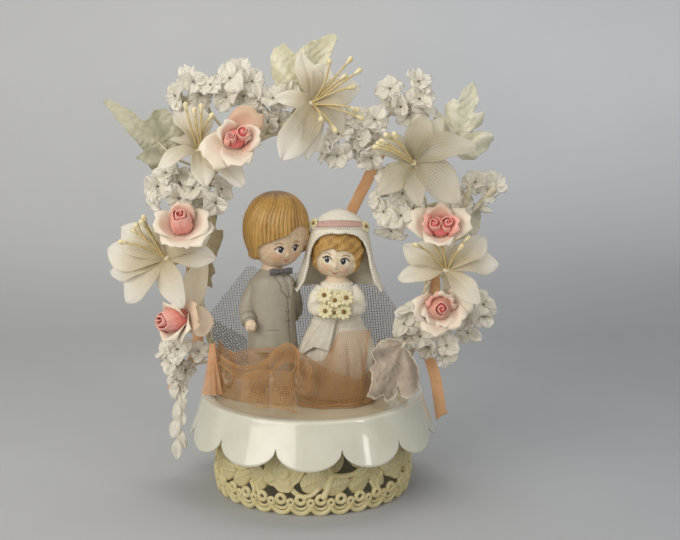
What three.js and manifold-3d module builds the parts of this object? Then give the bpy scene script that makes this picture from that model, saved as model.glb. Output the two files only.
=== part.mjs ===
// Wedding cake topper: a bride and groom under an arch of artificial flowers, standing on a
// scalloped plate that rests on a pierced ring base.
// Millimetres, +Z up, the front faces -Y. The origin is on the table, under the middle of the base.

import * as THREE from "three";
import { mergeVertices } from "three/addons/utils/BufferGeometryUtils.js";
import Module from "manifold-3d";

const wasm = await Module();
wasm.setup();

// Driving dimensions

const SEAT_GAP = 0.3; // between pieces that rest on each other or are glued together
const NESTED_GAP = 0.5; // between a head and its hair, and between the hair and the veil
const WELD = 1e-4; // points closer than this are one point
const TURN = 2 * Math.PI;

const BASE_HEIGHT = 43;
const BASE_FOOT_RADIUS = 45;
const BASE_BELLY_RADIUS = 46.2;
const BASE_BELLY_HEIGHT = 9;
const BASE_TOP_RADIUS = 41;
const BASE_WALL = 2.2;
const BASE_LEDGE_WIDTH = 7;
const BASE_LEDGE_THICKNESS = 2;
const EDGING_LOOPS = 32;
const EDGING_EYE_RADIUS = 2.6;
const EDGING_EYE_HEIGHT = 4.6;
const VINE_WINDOWS = 10;
const VINE_WINDOW_LENGTH = 24;
const VINE_WINDOW_WIDTH = 15;
const VINE_WINDOW_HEIGHT = 24;
const VINE_WINDOW_SLANT = 0.5;

const PLATE_LOBES = 12;
const PLATE_LOBE_TURN = -0.01; // a lobe's middle lies this far round from the front
const PLATE_FLOOR_RADIUS = 47;
const PLATE_RIM_RADIUS = 52.5;
const PLATE_RIM_STEP = 0.9;
const PLATE_THICKNESS = 1.6;
const PLATE_SKIRT_RADIUS = 59;
const PLATE_SKIRT_DROP = 20.5;
const PLATE_CUSP_DROP = 11.4;

const ARCH_HALF_WIDTH = 56;
const ARCH_SPRING = 66; // height above the plate where the legs become the round top
const ARCH_HEIGHT = 131;
const ARCH_DEPTH = 8; // how far behind the middle the arch stands
const ARCH_WIRE_RADIUS = 1.6;
const GLUE_RADIUS = 4.2;
const GLUE_HEIGHT = 4.5;

const STEM_RADIUS = 0.7;

const LILY_PETALS = 6;
const LILY_PETAL_LENGTH = 28;
const LILY_PETAL_THICKNESS = 0.7;
const LILY_OPENING = 0.55; // how far the petals lean out at the throat
const LILY_CURL = 1.15; // how much further they lean at the tips
const LILY_NOTCH = 0.4; // share of the petal's length at which two petals part
const LILY_THROAT_RADIUS = 2.6;
const LILY_CALYX = 5;
const LILY_STAMENS = 5;
const LILY_STAMEN_LENGTH = 20;
const LILY_STAMEN_RADIUS = 0.4;
const LILY_STAMEN_SPREAD = 0.42;
const LILY_PEARL_RADIUS = 1;

const ROSE_HEART_RADIUS = 5.4;
const ROSE_HEART_HEIGHT = 11;
const ROSE_FOOT = 2;
const ROSE_RIBBON = 0.8;
const ROSE_TURNS = 2;
const ROSE_PETALS = 5;
const ROSE_PETAL_HEIGHT = 11;
const ROSE_FLARE = 3.4; // how far the petals lean out past the heart
const ROSE_CALYX = 6;
const ROSE_PETAL_THICKNESS = 0.8;

const FLORET_PETALS = 5;
const FLORET_RADIUS = 4.6;
const FLORET_THICKNESS = 1.2;
const FLORET_CUP = 1.4;
const FLORET_NOTCH = 0.68; // share of the radius at which two petals part

const LEAF_THICKNESS = 0.7;
const LEAF_LOBES = 4;
const LEAF_TIP_WIDTH = 1.2;

const BUD_DROP_LENGTH = 42;
const BUDS = 5;
const BUD_RADIUS = 2;
const BUD_LENGTH = 6.5;

const NET_RADIUS = 54;
const NET_PEAK = 8;
const NET_THICKNESS = 0.6;
const NET_PLEATS = 7;
const NET_PLEAT_DEPTH = 1.4;
const NET_BEHIND = 18;
const NET_SIDEWAYS = -3;
const NET_GATHER_RADIUS = 5;
const NET_LEFT_ANGLE = 2.85;
const NET_RIGHT_ANGLE = 0.3;

const TULLE_THICKNESS = 0.7;
const TULLE_FOLDS = 9;
const TULLE_FOLD_DEPTH = 1.1;
const TULLE_LEAN = 3; // how far the wrap's top edge leans in
const TULLE_TAIL_WIDTH = 22;
const TULLE_LOOP_WIDTHS = [14, 12];
const TULLE_KNOT = [-16, -29, 9];
const TULLE_KNOT_RADII = [3.6, 3, 4.6];

const RIBBON_WIDTH = 5;
const RIBBON_THICKNESS = 0.6;

const GROOM_PLACE = [-19.5, 0];
const GROOM_HEM_HEIGHT = 21.5;
const GROOM_HEM_RADIUS = 11.6;
const GROOM_CHEST_RADIUS = 10.5;
const GROOM_SHOULDER_HEIGHT = 56;
const GROOM_CHIN_HEIGHT = 60.6;
const GROOM_HEAD_HEIGHT = 32;
const GROOM_HEAD_RADIUS = 12.5;
const GROOM_HAIR_THICKNESS = 2;
const GROOM_HEAD_TURN = 0.42; // towards the bride
const GROOM_NECK_RADIUS = 4;
const GROOM_LEG_SPREAD = 6.2;
const GROOM_LEG_RADIUS = 4.8;
const GROOM_SHOE_LENGTH = 16;
const GROOM_ARM_RADIUS = 3.8;
const TIE_HALF_LENGTH = 5;
const TIE_RADIUS = 2.6;

const BRIDE_PLACE = [11.5, 0];
const BRIDE_HEM_RADIUS = 18.5;
const BRIDE_WAIST_HEIGHT = 31;
const BRIDE_WAIST_RADIUS = 10.5;
const BRIDE_SHOULDER_HEIGHT = 51;
const BRIDE_CHIN_HEIGHT = 56.2;
const BRIDE_HEAD_HEIGHT = 26;
const BRIDE_HEAD_RADIUS = 10.4;
const BRIDE_HAIR_THICKNESS = 1.4;
const BRIDE_VEIL_THICKNESS = 1.2;
const BRIDE_VEIL_HEM_RADIUS = 20.5;
const BRIDE_NECK_RADIUS = 3.6;
const BRIDE_ARM_RADIUS = 3.7;
const BRIDE_HEAD_TURN = -0.08;
const BOUQUET_RADIUS = 8;

// Derived places

const PLATE_UNDERSIDE = BASE_HEIGHT + SEAT_GAP;
const PLATE_FLOOR = PLATE_UNDERSIDE + PLATE_THICKNESS;
const STAND = SEAT_GAP; // height of a foot above the plate's floor, in the frame of what stands there
const ARCH_FOOT_REACH = PLATE_FLOOR_RADIUS - GLUE_RADIUS - SEAT_GAP; // the glue stays inside the rim
const ARCH_FOOT_HALF = Math.sqrt(ARCH_FOOT_REACH ** 2 - ARCH_DEPTH ** 2);

// Finishes

const finish = (color, roughness) => new THREE.MeshStandardMaterial({ color, roughness, metalness: 0 });
const IVORY_PLASTIC = finish("#d9cd9c", 0.45);
const WHITE_PLASTIC = finish("#e4e4dc", 0.25);
const FLORAL_TAPE = finish("#e6e0d2", 0.8);
const CLEAR_GLUE = finish("#d8d2c0", 0.35);
const GREY_COAT = finish("#a39d95", 0.75);
const DARK_TIE = finish("#5d5754", 0.7);
const SKIN = finish("#e2b99c", 0.65);
const GOLDEN_HAIR = finish("#b98742", 0.7);
const WHITE_BISQUE = finish("#e6e6e4", 0.65);
const CREAM_FLOWERS = finish("#ece2b4", 0.7);
const IVORY_PETAL = finish("#e2dcc8", 0.6);
const GOLD_STAMEN = finish("#d8bd80", 0.4);
const CREAM_SATIN = finish("#eae2d0", 0.5);
const CORAL_SATIN = finish("#e87a72", 0.5);
const WHITE_SATIN = finish("#ece9e0", 0.5);
const WHITE_NET = finish("#dcdad4", 0.9);
const PEACH_TULLE = finish("#d9a273", 0.9);
const PEACH_SATIN = finish("#e39a5c", 0.45);

// Solids

function solidOf(geometry) {
  const bare = geometry.clone();
  for (const name of Object.keys(bare.attributes)) {
    if (name !== "position") bare.deleteAttribute(name);
  }
  const welded = mergeVertices(bare, WELD);
  const corners = welded.index.array;
  const triangles = [];
  for (let i = 0; i < corners.length; i += 3) {
    const [a, b, c] = [corners[i], corners[i + 1], corners[i + 2]];
    if (a !== b && b !== c && c !== a) triangles.push(a, b, c);
  }
  const vertProperties = new Float32Array(welded.attributes.position.array);
  const made = (list) =>
    new wasm.Manifold(new wasm.Mesh({ numProp: 3, vertProperties, triVerts: new Uint32Array(list) }));
  const solid = made(triangles);
  return solid.volume() < 0 ? made(triangles.reverse()) : solid;
}

function geometryOf(solid) {
  const { vertProperties, triVerts } = solid.getMesh();
  const geometry = new THREE.BufferGeometry();
  geometry.setAttribute("position", new THREE.BufferAttribute(vertProperties, 3));
  geometry.setIndex(new THREE.BufferAttribute(triVerts, 1));
  geometry.computeVertexNormals();
  return geometry;
}

const joined = (solids) => solids.reduce((sum, solid) => sum.add(solid));
const cutBy = (solid, cutters) => cutters.reduce((left, cutter) => left.subtract(cutter), solid);
const largestBody = (solid) =>
  solid.decompose().reduce((best, body) => (body.volume() > best.volume() ? body : best));

// Two triangles for a quad, split along its shorter diagonal, so that both faces of a sheet agree.
function quad(points, a, b, c, d) {
  const span = (from, to) => points[from].distanceTo(points[to]);
  return span(a, c) <= span(b, d) + WELD ? [a, b, c, a, c, d] : [a, b, d, b, c, d];
}

function indexed(points, index) {
  const geometry = new THREE.BufferGeometry().setFromPoints(points);
  geometry.setIndex(index);
  return solidOf(geometry);
}

// A closed solid from rows of points, each row a closed loop. The rows run round, or are capped.
function gridSolid(rows, { roundRows = false } = {}) {
  const width = rows[0].length;
  const points = rows.flat();
  const index = [];
  const rowCount = roundRows ? rows.length : rows.length - 1;
  for (let j = 0; j < rowCount; j++) {
    for (let i = 0; i < width; i++) {
      const [next, above] = [(i + 1) % width, (j + 1) % rows.length];
      const [a, b] = [j * width + i, j * width + next];
      const [c, d] = [above * width + next, above * width + i];
      index.push(...quad(points, a, b, c, d));
    }
  }
  if (!roundRows) {
    for (const [j, flip] of [[0, true], [rows.length - 1, false]]) {
      const middle = rows[j].reduce((sum, p) => sum.add(p), new THREE.Vector3()).divideScalar(width);
      const hub = points.length;
      points.push(middle);
      for (let i = 0; i < width; i++) {
        const [a, b] = [j * width + i, j * width + ((i + 1) % width)];
        index.push(...(flip ? [b, a, hub] : [a, b, hub]));
      }
    }
  }
  return indexed(points, index);
}

// A body of elliptical sections [height, half width, half depth, x, y], from the bottom up.
function loft(sections, sides) {
  const ring = ([z, rx, ry, x = 0, y = 0]) =>
    Array.from({ length: sides }, (_, i) => {
      const angle = (TURN * i) / sides;
      return new THREE.Vector3(x + rx * Math.cos(angle), y + ry * Math.sin(angle), z);
    });
  return gridSolid(sections.map(ring));
}

// A profile of [radius, height] points, which may change with the angle, spun round the Z axis.
function spin(profileAt, segments) {
  const row = (i) => {
    const angle = (TURN * i) / segments;
    return profileAt(angle).map(
      ([r, z]) => new THREE.Vector3(r * Math.sin(angle), -r * Math.cos(angle), z),
    );
  };
  const rows = Array.from({ length: segments }, (_, i) => row(i));
  return gridSolid(rows, { roundRows: true });
}

// A sheet of even thickness over point(u, v), with u across and v along, both from 0 to 1.
function sheet(point, across, along, thickness) {
  const step = 1e-3;
  const normal = (u, v) => {
    const du = point(Math.min(u + step, 1), v).sub(point(Math.max(u - step, 0), v));
    const dv = point(u, Math.min(v + step, 1)).sub(point(u, Math.max(v - step, 0)));
    return du.cross(dv).normalize();
  };
  const side = (i, v, sign) =>
    point(i / across, v).addScaledVector(normal(i / across, v), (sign * thickness) / 2);
  const rows = [];
  for (let j = 0; j <= along; j++) {
    const front = Array.from({ length: across + 1 }, (_, i) => side(i, j / along, 1));
    const back = Array.from({ length: across + 1 }, (_, i) => side(across - i, j / along, -1));
    rows.push([...front, ...back]);
  }
  return sheetEnds(rows, across);
}

// The sheet's rows are closed loops; its two ends are quads across each loop.
function sheetEnds(rows, across) {
  const width = rows[0].length;
  const points = rows.flat();
  const index = [];
  for (let j = 0; j + 1 < rows.length; j++) {
    for (let i = 0; i < width; i++) {
      const [a, b] = [j * width + i, j * width + ((i + 1) % width)];
      index.push(...quad(points, a, b, b + width, a + width));
    }
  }
  const last = (rows.length - 1) * width;
  for (let i = 0; i < across; i++) {
    const [a, b, c, d] = [i, i + 1, width - 2 - i, width - 1 - i];
    index.push(b, a, d, b, d, c);
    index.push(last + a, last + b, last + c, last + a, last + c, last + d);
  }
  return indexed(points, index);
}

// A round rod along a curve.
function rod(curve, radius, sides, steps) {
  const corner = (_, i) =>
    new THREE.Vector2(radius, 0).rotateAround(new THREE.Vector2(), (TURN * i) / sides);
  const section = new THREE.Shape(Array.from({ length: sides }, corner));
  return solidOf(
    new THREE.ExtrudeGeometry(section, { steps, extrudePath: curve, bevelEnabled: false }),
  );
}

const vector = (list) => new THREE.Vector3(...list);
const curveThrough = (points) => new THREE.CatmullRomCurve3(points.map(vector));
const limb = (from, to, radius) => {
  const [a, b] = [vector(from), vector(to)];
  const geometry = new THREE.CapsuleGeometry(radius, a.distanceTo(b), 2, 7);
  const turn = new THREE.Quaternion().setFromUnitVectors(
    new THREE.Vector3(0, 1, 0), b.clone().sub(a).normalize(),
  );
  geometry.applyQuaternion(turn).translate(...a.lerp(b, 0.5).toArray());
  return solidOf(geometry);
};
const ball = (radii, centre, across = 14, up = 9) => {
  const geometry = new THREE.SphereGeometry(1, across, up).rotateX(TURN / 4);
  return solidOf(geometry.scale(...radii).translate(...centre));
};
const block = (low, high) => {
  const size = vector(high).sub(vector(low));
  const middle = vector(low).lerp(vector(high), 0.5);
  return solidOf(new THREE.BoxGeometry(...size.toArray()).translate(...middle.toArray()));
};

// A solid carried by a position and a turn, as a new solid in the outer frame.
function carried(solid, place, turn = new THREE.Quaternion()) {
  return solidOf(geometryOf(solid).applyQuaternion(turn).translate(...place.toArray()));
}

const UP = new THREE.Vector3(0, 0, 1);
const facing = (direction, roll = 0) =>
  new THREE.Quaternion()
    .setFromUnitVectors(UP, vector(direction).normalize())
    .multiply(new THREE.Quaternion().setFromAxisAngle(UP, roll));

function mesh(name, solid, material) {
  const made = new THREE.Mesh(geometryOf(solid), material);
  made.name = name;
  return made;
}

function groupAt(place, turn, ...children) {
  const group = new THREE.Group();
  group.position.copy(place);
  group.quaternion.copy(turn);
  if (children.length) group.add(...children);
  return group;
}

// The base: a barrel wall with a flat ledge at the top, pierced by vine windows and an eyelet edging

function baseFiligree() {
  const inner = (radius) => radius - BASE_WALL;
  const ledge = BASE_HEIGHT - BASE_LEDGE_THICKNESS;
  const profile = [
    [BASE_FOOT_RADIUS, 0],
    [BASE_BELLY_RADIUS, BASE_BELLY_HEIGHT],
    [BASE_TOP_RADIUS, BASE_HEIGHT],
    [BASE_TOP_RADIUS - BASE_LEDGE_WIDTH, BASE_HEIGHT],
    [BASE_TOP_RADIUS - BASE_LEDGE_WIDTH, ledge],
    [inner(BASE_TOP_RADIUS), ledge],
    [inner(BASE_BELLY_RADIUS), BASE_BELLY_HEIGHT],
    [inner(BASE_FOOT_RADIUS), 0],
  ];
  const wall = spin(() => profile, EDGING_LOOPS);
  const outermost = Math.max(BASE_FOOT_RADIUS, BASE_BELLY_RADIUS, BASE_TOP_RADIUS) + BASE_WALL;
  const innermost = inner(Math.min(BASE_FOOT_RADIUS, BASE_BELLY_RADIUS, BASE_TOP_RADIUS)) - BASE_WALL;
  const piercing = (width, length, sides, slant, angle, height) =>
    solidOf(
      new THREE.CylinderGeometry(1, 1, outermost - innermost, sides)
        .scale(width / 2, 1, length / 2)
        .rotateY(slant)
        .translate(0, -(outermost + innermost) / 2, 0)
        .rotateZ(angle)
        .translate(0, 0, height),
    );
  const holes = [];
  for (let i = 0; i < EDGING_LOOPS; i++) {
    const angle = (TURN * (i + 0.5)) / EDGING_LOOPS;
    holes.push(piercing(2 * EDGING_EYE_RADIUS, 2 * EDGING_EYE_RADIUS, 4, 0, angle, EDGING_EYE_HEIGHT));
  }
  for (let i = 0; i < VINE_WINDOWS; i++) {
    const angle = (TURN * (i + 0.5)) / VINE_WINDOWS;
    const slant = i % 2 ? VINE_WINDOW_SLANT : -VINE_WINDOW_SLANT;
    holes.push(piercing(VINE_WINDOW_WIDTH, VINE_WINDOW_LENGTH, 6, slant, angle, VINE_WINDOW_HEIGHT));
  }
  return mesh("base_filigree", cutBy(wall, holes), IVORY_PLASTIC);
}

// The plate: a flat floor, a raised rim and a flared skirt that ends in round lobes

function scallopedPlate() {
  const rimTop = PLATE_THICKNESS + PLATE_RIM_STEP;
  const flare = (PLATE_SKIRT_RADIUS - PLATE_RIM_RADIUS) / PLATE_SKIRT_DROP;
  const dropAt = (angle) => {
    const lobe = (angle / TURN) * PLATE_LOBES;
    const across = 2 * (lobe - Math.round(lobe));
    const round = Math.sqrt(Math.max(0, 1 - across * across));
    return PLATE_CUSP_DROP + (PLATE_SKIRT_DROP - PLATE_CUSP_DROP) * round;
  };
  const profileAt = (angle) => {
    const drop = dropAt(angle);
    const hem = PLATE_RIM_RADIUS + flare * drop;
    return [
      [0, PLATE_THICKNESS],
      [PLATE_FLOOR_RADIUS, PLATE_THICKNESS],
      [PLATE_FLOOR_RADIUS + PLATE_RIM_STEP, rimTop],
      [PLATE_RIM_RADIUS, rimTop],
      [hem, rimTop - drop],
      [hem - PLATE_THICKNESS, rimTop - drop],
      [PLATE_RIM_RADIUS - PLATE_THICKNESS, 0],
      [0, 0],
    ];
  };
  const plate = mesh("scalloped_plate", spin(profileAt, 6 * PLATE_LOBES), WHITE_PLASTIC);
  plate.position.z = PLATE_UNDERSIDE;
  plate.rotation.z = PLATE_LOBE_TURN;
  return plate;
}

// The arch: two leaning legs and a half ellipse, in the plane behind the couple

const archSide = (side) => [
  [side * ARCH_FOOT_HALF, ARCH_DEPTH, STAND],
  [side * ARCH_FOOT_HALF, ARCH_DEPTH, GLUE_HEIGHT],
  [side * (0.35 * ARCH_FOOT_HALF + 0.65 * ARCH_HALF_WIDTH), ARCH_DEPTH, 0.45 * ARCH_SPRING],
];
const archTop = Array.from({ length: 7 }, (_, i) => {
  const angle = Math.PI * (1 - i / 6);
  const rise = (ARCH_HEIGHT - ARCH_SPRING) * Math.sin(angle);
  return [ARCH_HALF_WIDTH * Math.cos(angle), ARCH_DEPTH, ARCH_SPRING + rise];
});
const archPoints = [...archSide(-1), ...archTop, ...archSide(1).reverse()];
const archCurve = curveThrough(archPoints);

const archWire = () => mesh("arch_wire", rod(archCurve, ARCH_WIRE_RADIUS, 6, 36), FLORAL_TAPE);

function glue(name, side) {
  const bore = ARCH_WIRE_RADIUS + 3 * SEAT_GAP;
  const profile = [
    [bore, STAND],
    [GLUE_RADIUS, STAND],
    [GLUE_RADIUS * 0.8, GLUE_HEIGHT * 0.6],
    [bore, GLUE_HEIGHT],
  ];
  const made = mesh(name, spin(() => profile, 10), CLEAR_GLUE);
  made.position.set(side * ARCH_FOOT_HALF, ARCH_DEPTH, 0);
  return made;
}

// A place on the arch: a share of its length from the left foot, and an offset from there
const onArch = (share, offset) => archCurve.getPointAt(share).add(vector(offset));

// A wire stem from a flower's back to the arch, in the flower's own frame
function stemSolid(share, place, turn, start) {
  const from = vector(start);
  const seat = archCurve.getPointAt(share);
  const back = from.clone().applyQuaternion(turn).add(place);
  const clearance = ARCH_WIRE_RADIUS + SEAT_GAP;
  const end = seat.addScaledVector(back.sub(seat).normalize(), clearance);
  const to = end.sub(place).applyQuaternion(turn.clone().invert());
  const along = from.distanceTo(to) / 3;
  const curve = new THREE.CubicBezierCurve3(
    from,
    from.clone().addScaledVector(UP, -along),
    to.clone().lerp(from, 0.35),
    to,
  );
  return rod(curve, STEM_RADIUS, 3, 3);
}

// A lily: six petals that flare from a throat, and a tuft of pearl-tipped stamens

function lily(number, { share, offset, faces, roll }) {
  const place = onArch(share, offset);
  const turn = facing(faces, roll);
  const profileAt = (angle) => {
    const crest = Math.pow((1 + Math.cos(LILY_PETALS * angle)) / 2, 0.5);
    const length = LILY_PETAL_LENGTH * (LILY_NOTCH + (1 - LILY_NOTCH) * crest);
    const along = (share, lift) => {
      const lean = LILY_OPENING + (LILY_CURL * share * length) / LILY_PETAL_LENGTH;
      const bow = LILY_PETAL_LENGTH / LILY_CURL;
      const out = bow * (Math.cos(LILY_OPENING) - Math.cos(lean)) - lift * Math.cos(lean);
      const up = bow * (Math.sin(lean) - Math.sin(LILY_OPENING)) + lift * Math.sin(lean);
      return [Math.max(out, 0.2), up];
    };
    const half = LILY_PETAL_THICKNESS / 2;
    const blade = [along(0.5, half), along(1, 0), along(0.5, -half)];
    return [[0, 0], ...blade, [LILY_THROAT_RADIUS, -1], [STEM_RADIUS, -LILY_CALYX], [0, -LILY_CALYX]];
  };
  const petals = spin(profileAt, 4 * LILY_PETALS);
  const stem = stemSolid(share, place, turn, [0, 0, 1 - LILY_CALYX]);

  const root = new THREE.Vector3(0, 0, 3);
  const stamens = [loft([[root.z - 1, 0.4, 0.4], [root.z + 1, 0.8, 0.8]], 5)];
  for (let i = 0; i < LILY_STAMENS; i++) {
    const spread = LILY_STAMEN_SPREAD * (i % 2 ? 1 : 0.55);
    const lean = new THREE.Vector3(Math.sin(spread), 0, Math.cos(spread));
    lean.applyAxisAngle(UP, (TURN * (i + 0.5)) / LILY_STAMENS);
    const wire = LILY_STAMEN_LENGTH - 2 * LILY_PEARL_RADIUS;
    const stamen = loft(
      [
        [0, LILY_STAMEN_RADIUS, LILY_STAMEN_RADIUS],
        [wire, LILY_STAMEN_RADIUS, LILY_STAMEN_RADIUS],
        [wire + LILY_PEARL_RADIUS, LILY_PEARL_RADIUS, LILY_PEARL_RADIUS],
        [LILY_STAMEN_LENGTH, LILY_STAMEN_RADIUS, LILY_STAMEN_RADIUS],
      ],
      3,
    );
    stamens.push(carried(stamen, root, facing(lean.toArray())));
  }
  return groupAt(
    place,
    turn,
    mesh(`lily_${number}_stamens`, joined(stamens), GOLD_STAMEN),
    mesh(`lily_${number}_petals`, petals.add(stem), IVORY_PETAL),
  );
}

// A ribbon rosebud: a coral ribbon rolled into a spiral heart, inside a cup of cream petals

function rosebud(number, { share, offset, faces, roll }) {
  const place = onArch(share, offset);
  const turn = facing(faces, roll);
  const perTurn = 8;
  const steps = perTurn * ROSE_TURNS;
  const pitch = (ROSE_HEART_RADIUS - ROSE_RIBBON) / steps;
  const onSpiral = (i, inset) => {
    const angle = (TURN * i) / perTurn;
    const radius = ROSE_RIBBON + pitch * i - inset;
    return new THREE.Vector2(radius * Math.cos(angle), radius * Math.sin(angle));
  };
  const outline = [];
  for (let i = 0; i <= steps; i++) outline.push(onSpiral(i, 0));
  for (let i = steps; i >= 0; i--) outline.push(onSpiral(i, ROSE_RIBBON));
  const rolled = solidOf(
    new THREE.ExtrudeGeometry(new THREE.Shape(outline), {
      depth: ROSE_HEART_HEIGHT,
      bevelEnabled: false,
    }),
  );
  const footSection = (z) => [z, ROSE_HEART_RADIUS, ROSE_HEART_RADIUS];
  const foot = loft([footSection(0), footSection(ROSE_FOOT)], 8);

  const inner = ROSE_HEART_RADIUS + SEAT_GAP;
  const waist = inner + ROSE_FLARE * 0.3;
  const profileAt = (angle) => {
    const lobe = Math.abs(Math.cos((ROSE_PETALS * angle) / 2));
    const rim = ROSE_PETAL_HEIGHT * (0.55 + 0.45 * lobe);
    const out = inner + ROSE_FLARE * (0.6 + 0.4 * lobe);
    return [
      [0, -SEAT_GAP],
      [inner, -SEAT_GAP],
      [waist, rim * 0.6],
      [out + ROSE_PETAL_THICKNESS, rim],
      [waist + 1.5 * ROSE_PETAL_THICKNESS, rim * 0.6],
      [inner + ROSE_PETAL_THICKNESS, -1.5],
      [STEM_RADIUS, -ROSE_CALYX],
      [0, -ROSE_CALYX],
    ];
  };
  const cup = spin(profileAt, 4 * ROSE_PETALS);
  const stem = stemSolid(share, place, turn, [0, 0, 1 - ROSE_CALYX]);
  return groupAt(
    place,
    turn,
    mesh(`rosebud_${number}_heart`, rolled.add(foot), CORAL_SATIN),
    mesh(`rosebud_${number}_cup`, cup.add(stem), CREAM_SATIN),
  );
}

// A spray: five-petalled florets on wires that fan out from one point by the arch

function floret() {
  const profileAt = (angle) => {
    const petal = (1 + Math.cos(FLORET_PETALS * angle)) / 2;
    const radius = FLORET_RADIUS * (FLORET_NOTCH + (1 - FLORET_NOTCH) * petal);
    return [[0, 0], [radius, FLORET_CUP * (0.3 + 0.7 * petal)], [0, -FLORET_THICKNESS]];
  };
  return spin(profileAt, 2 * FLORET_PETALS);
}

function spray(number, { share, offset, faces, reach, spread, florets }) {
  const place = onArch(share, offset);
  const turn = facing(faces);
  const golden = Math.PI * (3 - Math.sqrt(5));
  const hub = new THREE.Vector3(0, 0, -STEM_RADIUS);
  const top = new THREE.Vector3(0, 0, 0.85 * reach);
  const parts = [stemSolid(share, place, turn, [0, 0, 0])];
  parts.push(rod(new THREE.LineCurve3(hub, top), STEM_RADIUS, 3, 1));
  parts.push(carried(floret(), top));
  for (let i = 1; i < florets; i++) {
    const lean = spread * Math.sqrt((i + 0.3) / florets);
    const way = new THREE.Vector3(Math.sin(lean), 0, Math.cos(lean)).applyAxisAngle(UP, golden * i);
    const tip = way.clone().multiplyScalar(reach);
    const fork = top.clone().multiplyScalar(0.7 - (0.6 * i) / florets);
    parts.push(rod(new THREE.LineCurve3(fork, tip), 0.7 * STEM_RADIUS, 3, 1));
    parts.push(carried(floret(), tip, facing(way.toArray(), i)));
  }
  return groupAt(place, turn, mesh(`spray_${number}`, joined(parts), WHITE_SATIN));
}

// A satin leaf with a lobed edge, creased along its midrib, wired to the arch

function leaf(number, { share, offset, points, front, length, width }) {
  const place = onArch(share, offset);
  const along = vector(points).normalize();
  const across = along.clone().cross(vector(front)).normalize();
  const turn = new THREE.Quaternion().setFromRotationMatrix(
    new THREE.Matrix4().makeBasis(across, along.clone().cross(across), along),
  );
  const bend = 0.08 * length;
  const point = (u, v) => {
    const side = 2 * u - 1;
    const belly = Math.pow(Math.sin(Math.PI * Math.pow(0.07 + 0.91 * v, 0.8)), 0.7);
    const lobes = 1 + 0.14 * Math.cos(TURN * LEAF_LOBES * v);
    const half = (LEAF_TIP_WIDTH + (width - LEAF_TIP_WIDTH) * belly * lobes) / 2;
    const crease = 0.2 * Math.abs(side) * half;
    return new THREE.Vector3(side * half, bend * v * v - crease, length * v);
  };
  const blade = sheet(point, 2, 2 * LEAF_LOBES, LEAF_THICKNESS);
  const stem = stemSolid(share, place, turn, [0, 0, 1.5]);
  return groupAt(place, turn, mesh(`leaf_${number}`, blade.add(stem), CREAM_SATIN));
}

// The bud drop: a wire that hangs plumb beside the plate, set with satin buds

function budDrop({ share, offset }) {
  const place = onArch(share, offset);
  const upright = new THREE.Quaternion();
  const parts = [stemSolid(share, place, upright, [0, 0, 0])];
  const hang = [[0, 0, 0.5], [0, 0, -BUD_DROP_LENGTH]].map(vector);
  parts.push(rod(new THREE.LineCurve3(...hang), STEM_RADIUS, 4, 1));
  for (let i = 0; i < BUDS; i++) {
    const height = -BUD_DROP_LENGTH * (0.18 + (0.82 * i) / (BUDS - 1));
    const lean = i === BUDS - 1 ? 0 : BUD_RADIUS * (i % 2 ? 0.7 : -0.7);
    const bud = loft(
      [
        [height - BUD_LENGTH / 2, STEM_RADIUS, STEM_RADIUS, lean],
        [height, BUD_RADIUS, BUD_RADIUS, lean],
        [height + BUD_LENGTH / 2, STEM_RADIUS, STEM_RADIUS, lean / 2],
      ],
      5,
    );
    parts.push(bud);
  }
  return groupAt(place, upright, mesh("bud_drop", joined(parts), WHITE_SATIN));
}

// Net and tulle

function netFan() {
  const centre = new THREE.Vector3(NET_SIDEWAYS, NET_BEHIND, STAND + NET_THICKNESS);
  const point = (u, v) => {
    const angle = NET_LEFT_ANGLE + (NET_RIGHT_ANGLE - NET_LEFT_ANGLE) * u;
    const edge = NET_RADIUS + NET_PEAK * Math.pow(Math.sin(TURN * u), 2);
    const radius = NET_GATHER_RADIUS + (edge - NET_GATHER_RADIUS) * v;
    const pleat = NET_PLEAT_DEPTH * v * Math.sin(TURN * NET_PLEATS * u);
    return new THREE.Vector3(radius * Math.cos(angle), pleat, radius * Math.sin(angle)).add(centre);
  };
  return mesh("net_fan", sheet(point, 4 * NET_PLEATS, 2, NET_THICKNESS), WHITE_NET);
}

function tulleWrap() {
  const path = curveThrough([
    [-45, -2, 0], [-37, -15, 0], [-22, -21, 0], [-6, -24, 0],
    [11, -25, 0], [26, -21, 0], [34, -9, 0], [35, 4, 0],
  ]);
  const heights = curveThrough([
    [0, 0, 27], [1, 0, 20], [2, 0, 19], [3, 0, 22], [4, 0, 24], [5, 0, 27], [6, 0, 30], [7, 0, 27],
  ]);
  const point = (u, v) => {
    const foot = path.getPoint(v);
    const along = path.getTangent(v);
    const out = new THREE.Vector3(along.y, -along.x, 0).normalize();
    const fold = TULLE_FOLD_DEPTH * Math.sin(TURN * TULLE_FOLDS * v);
    const height = STAND + TULLE_THICKNESS + heights.getPoint(v).z * u;
    return foot.addScaledVector(out, fold - TULLE_LEAN * u * u).setZ(height);
  };
  return mesh("tulle_wrap", sheet(point, 2, 32, TULLE_THICKNESS), PEACH_TULLE);
}

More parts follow.
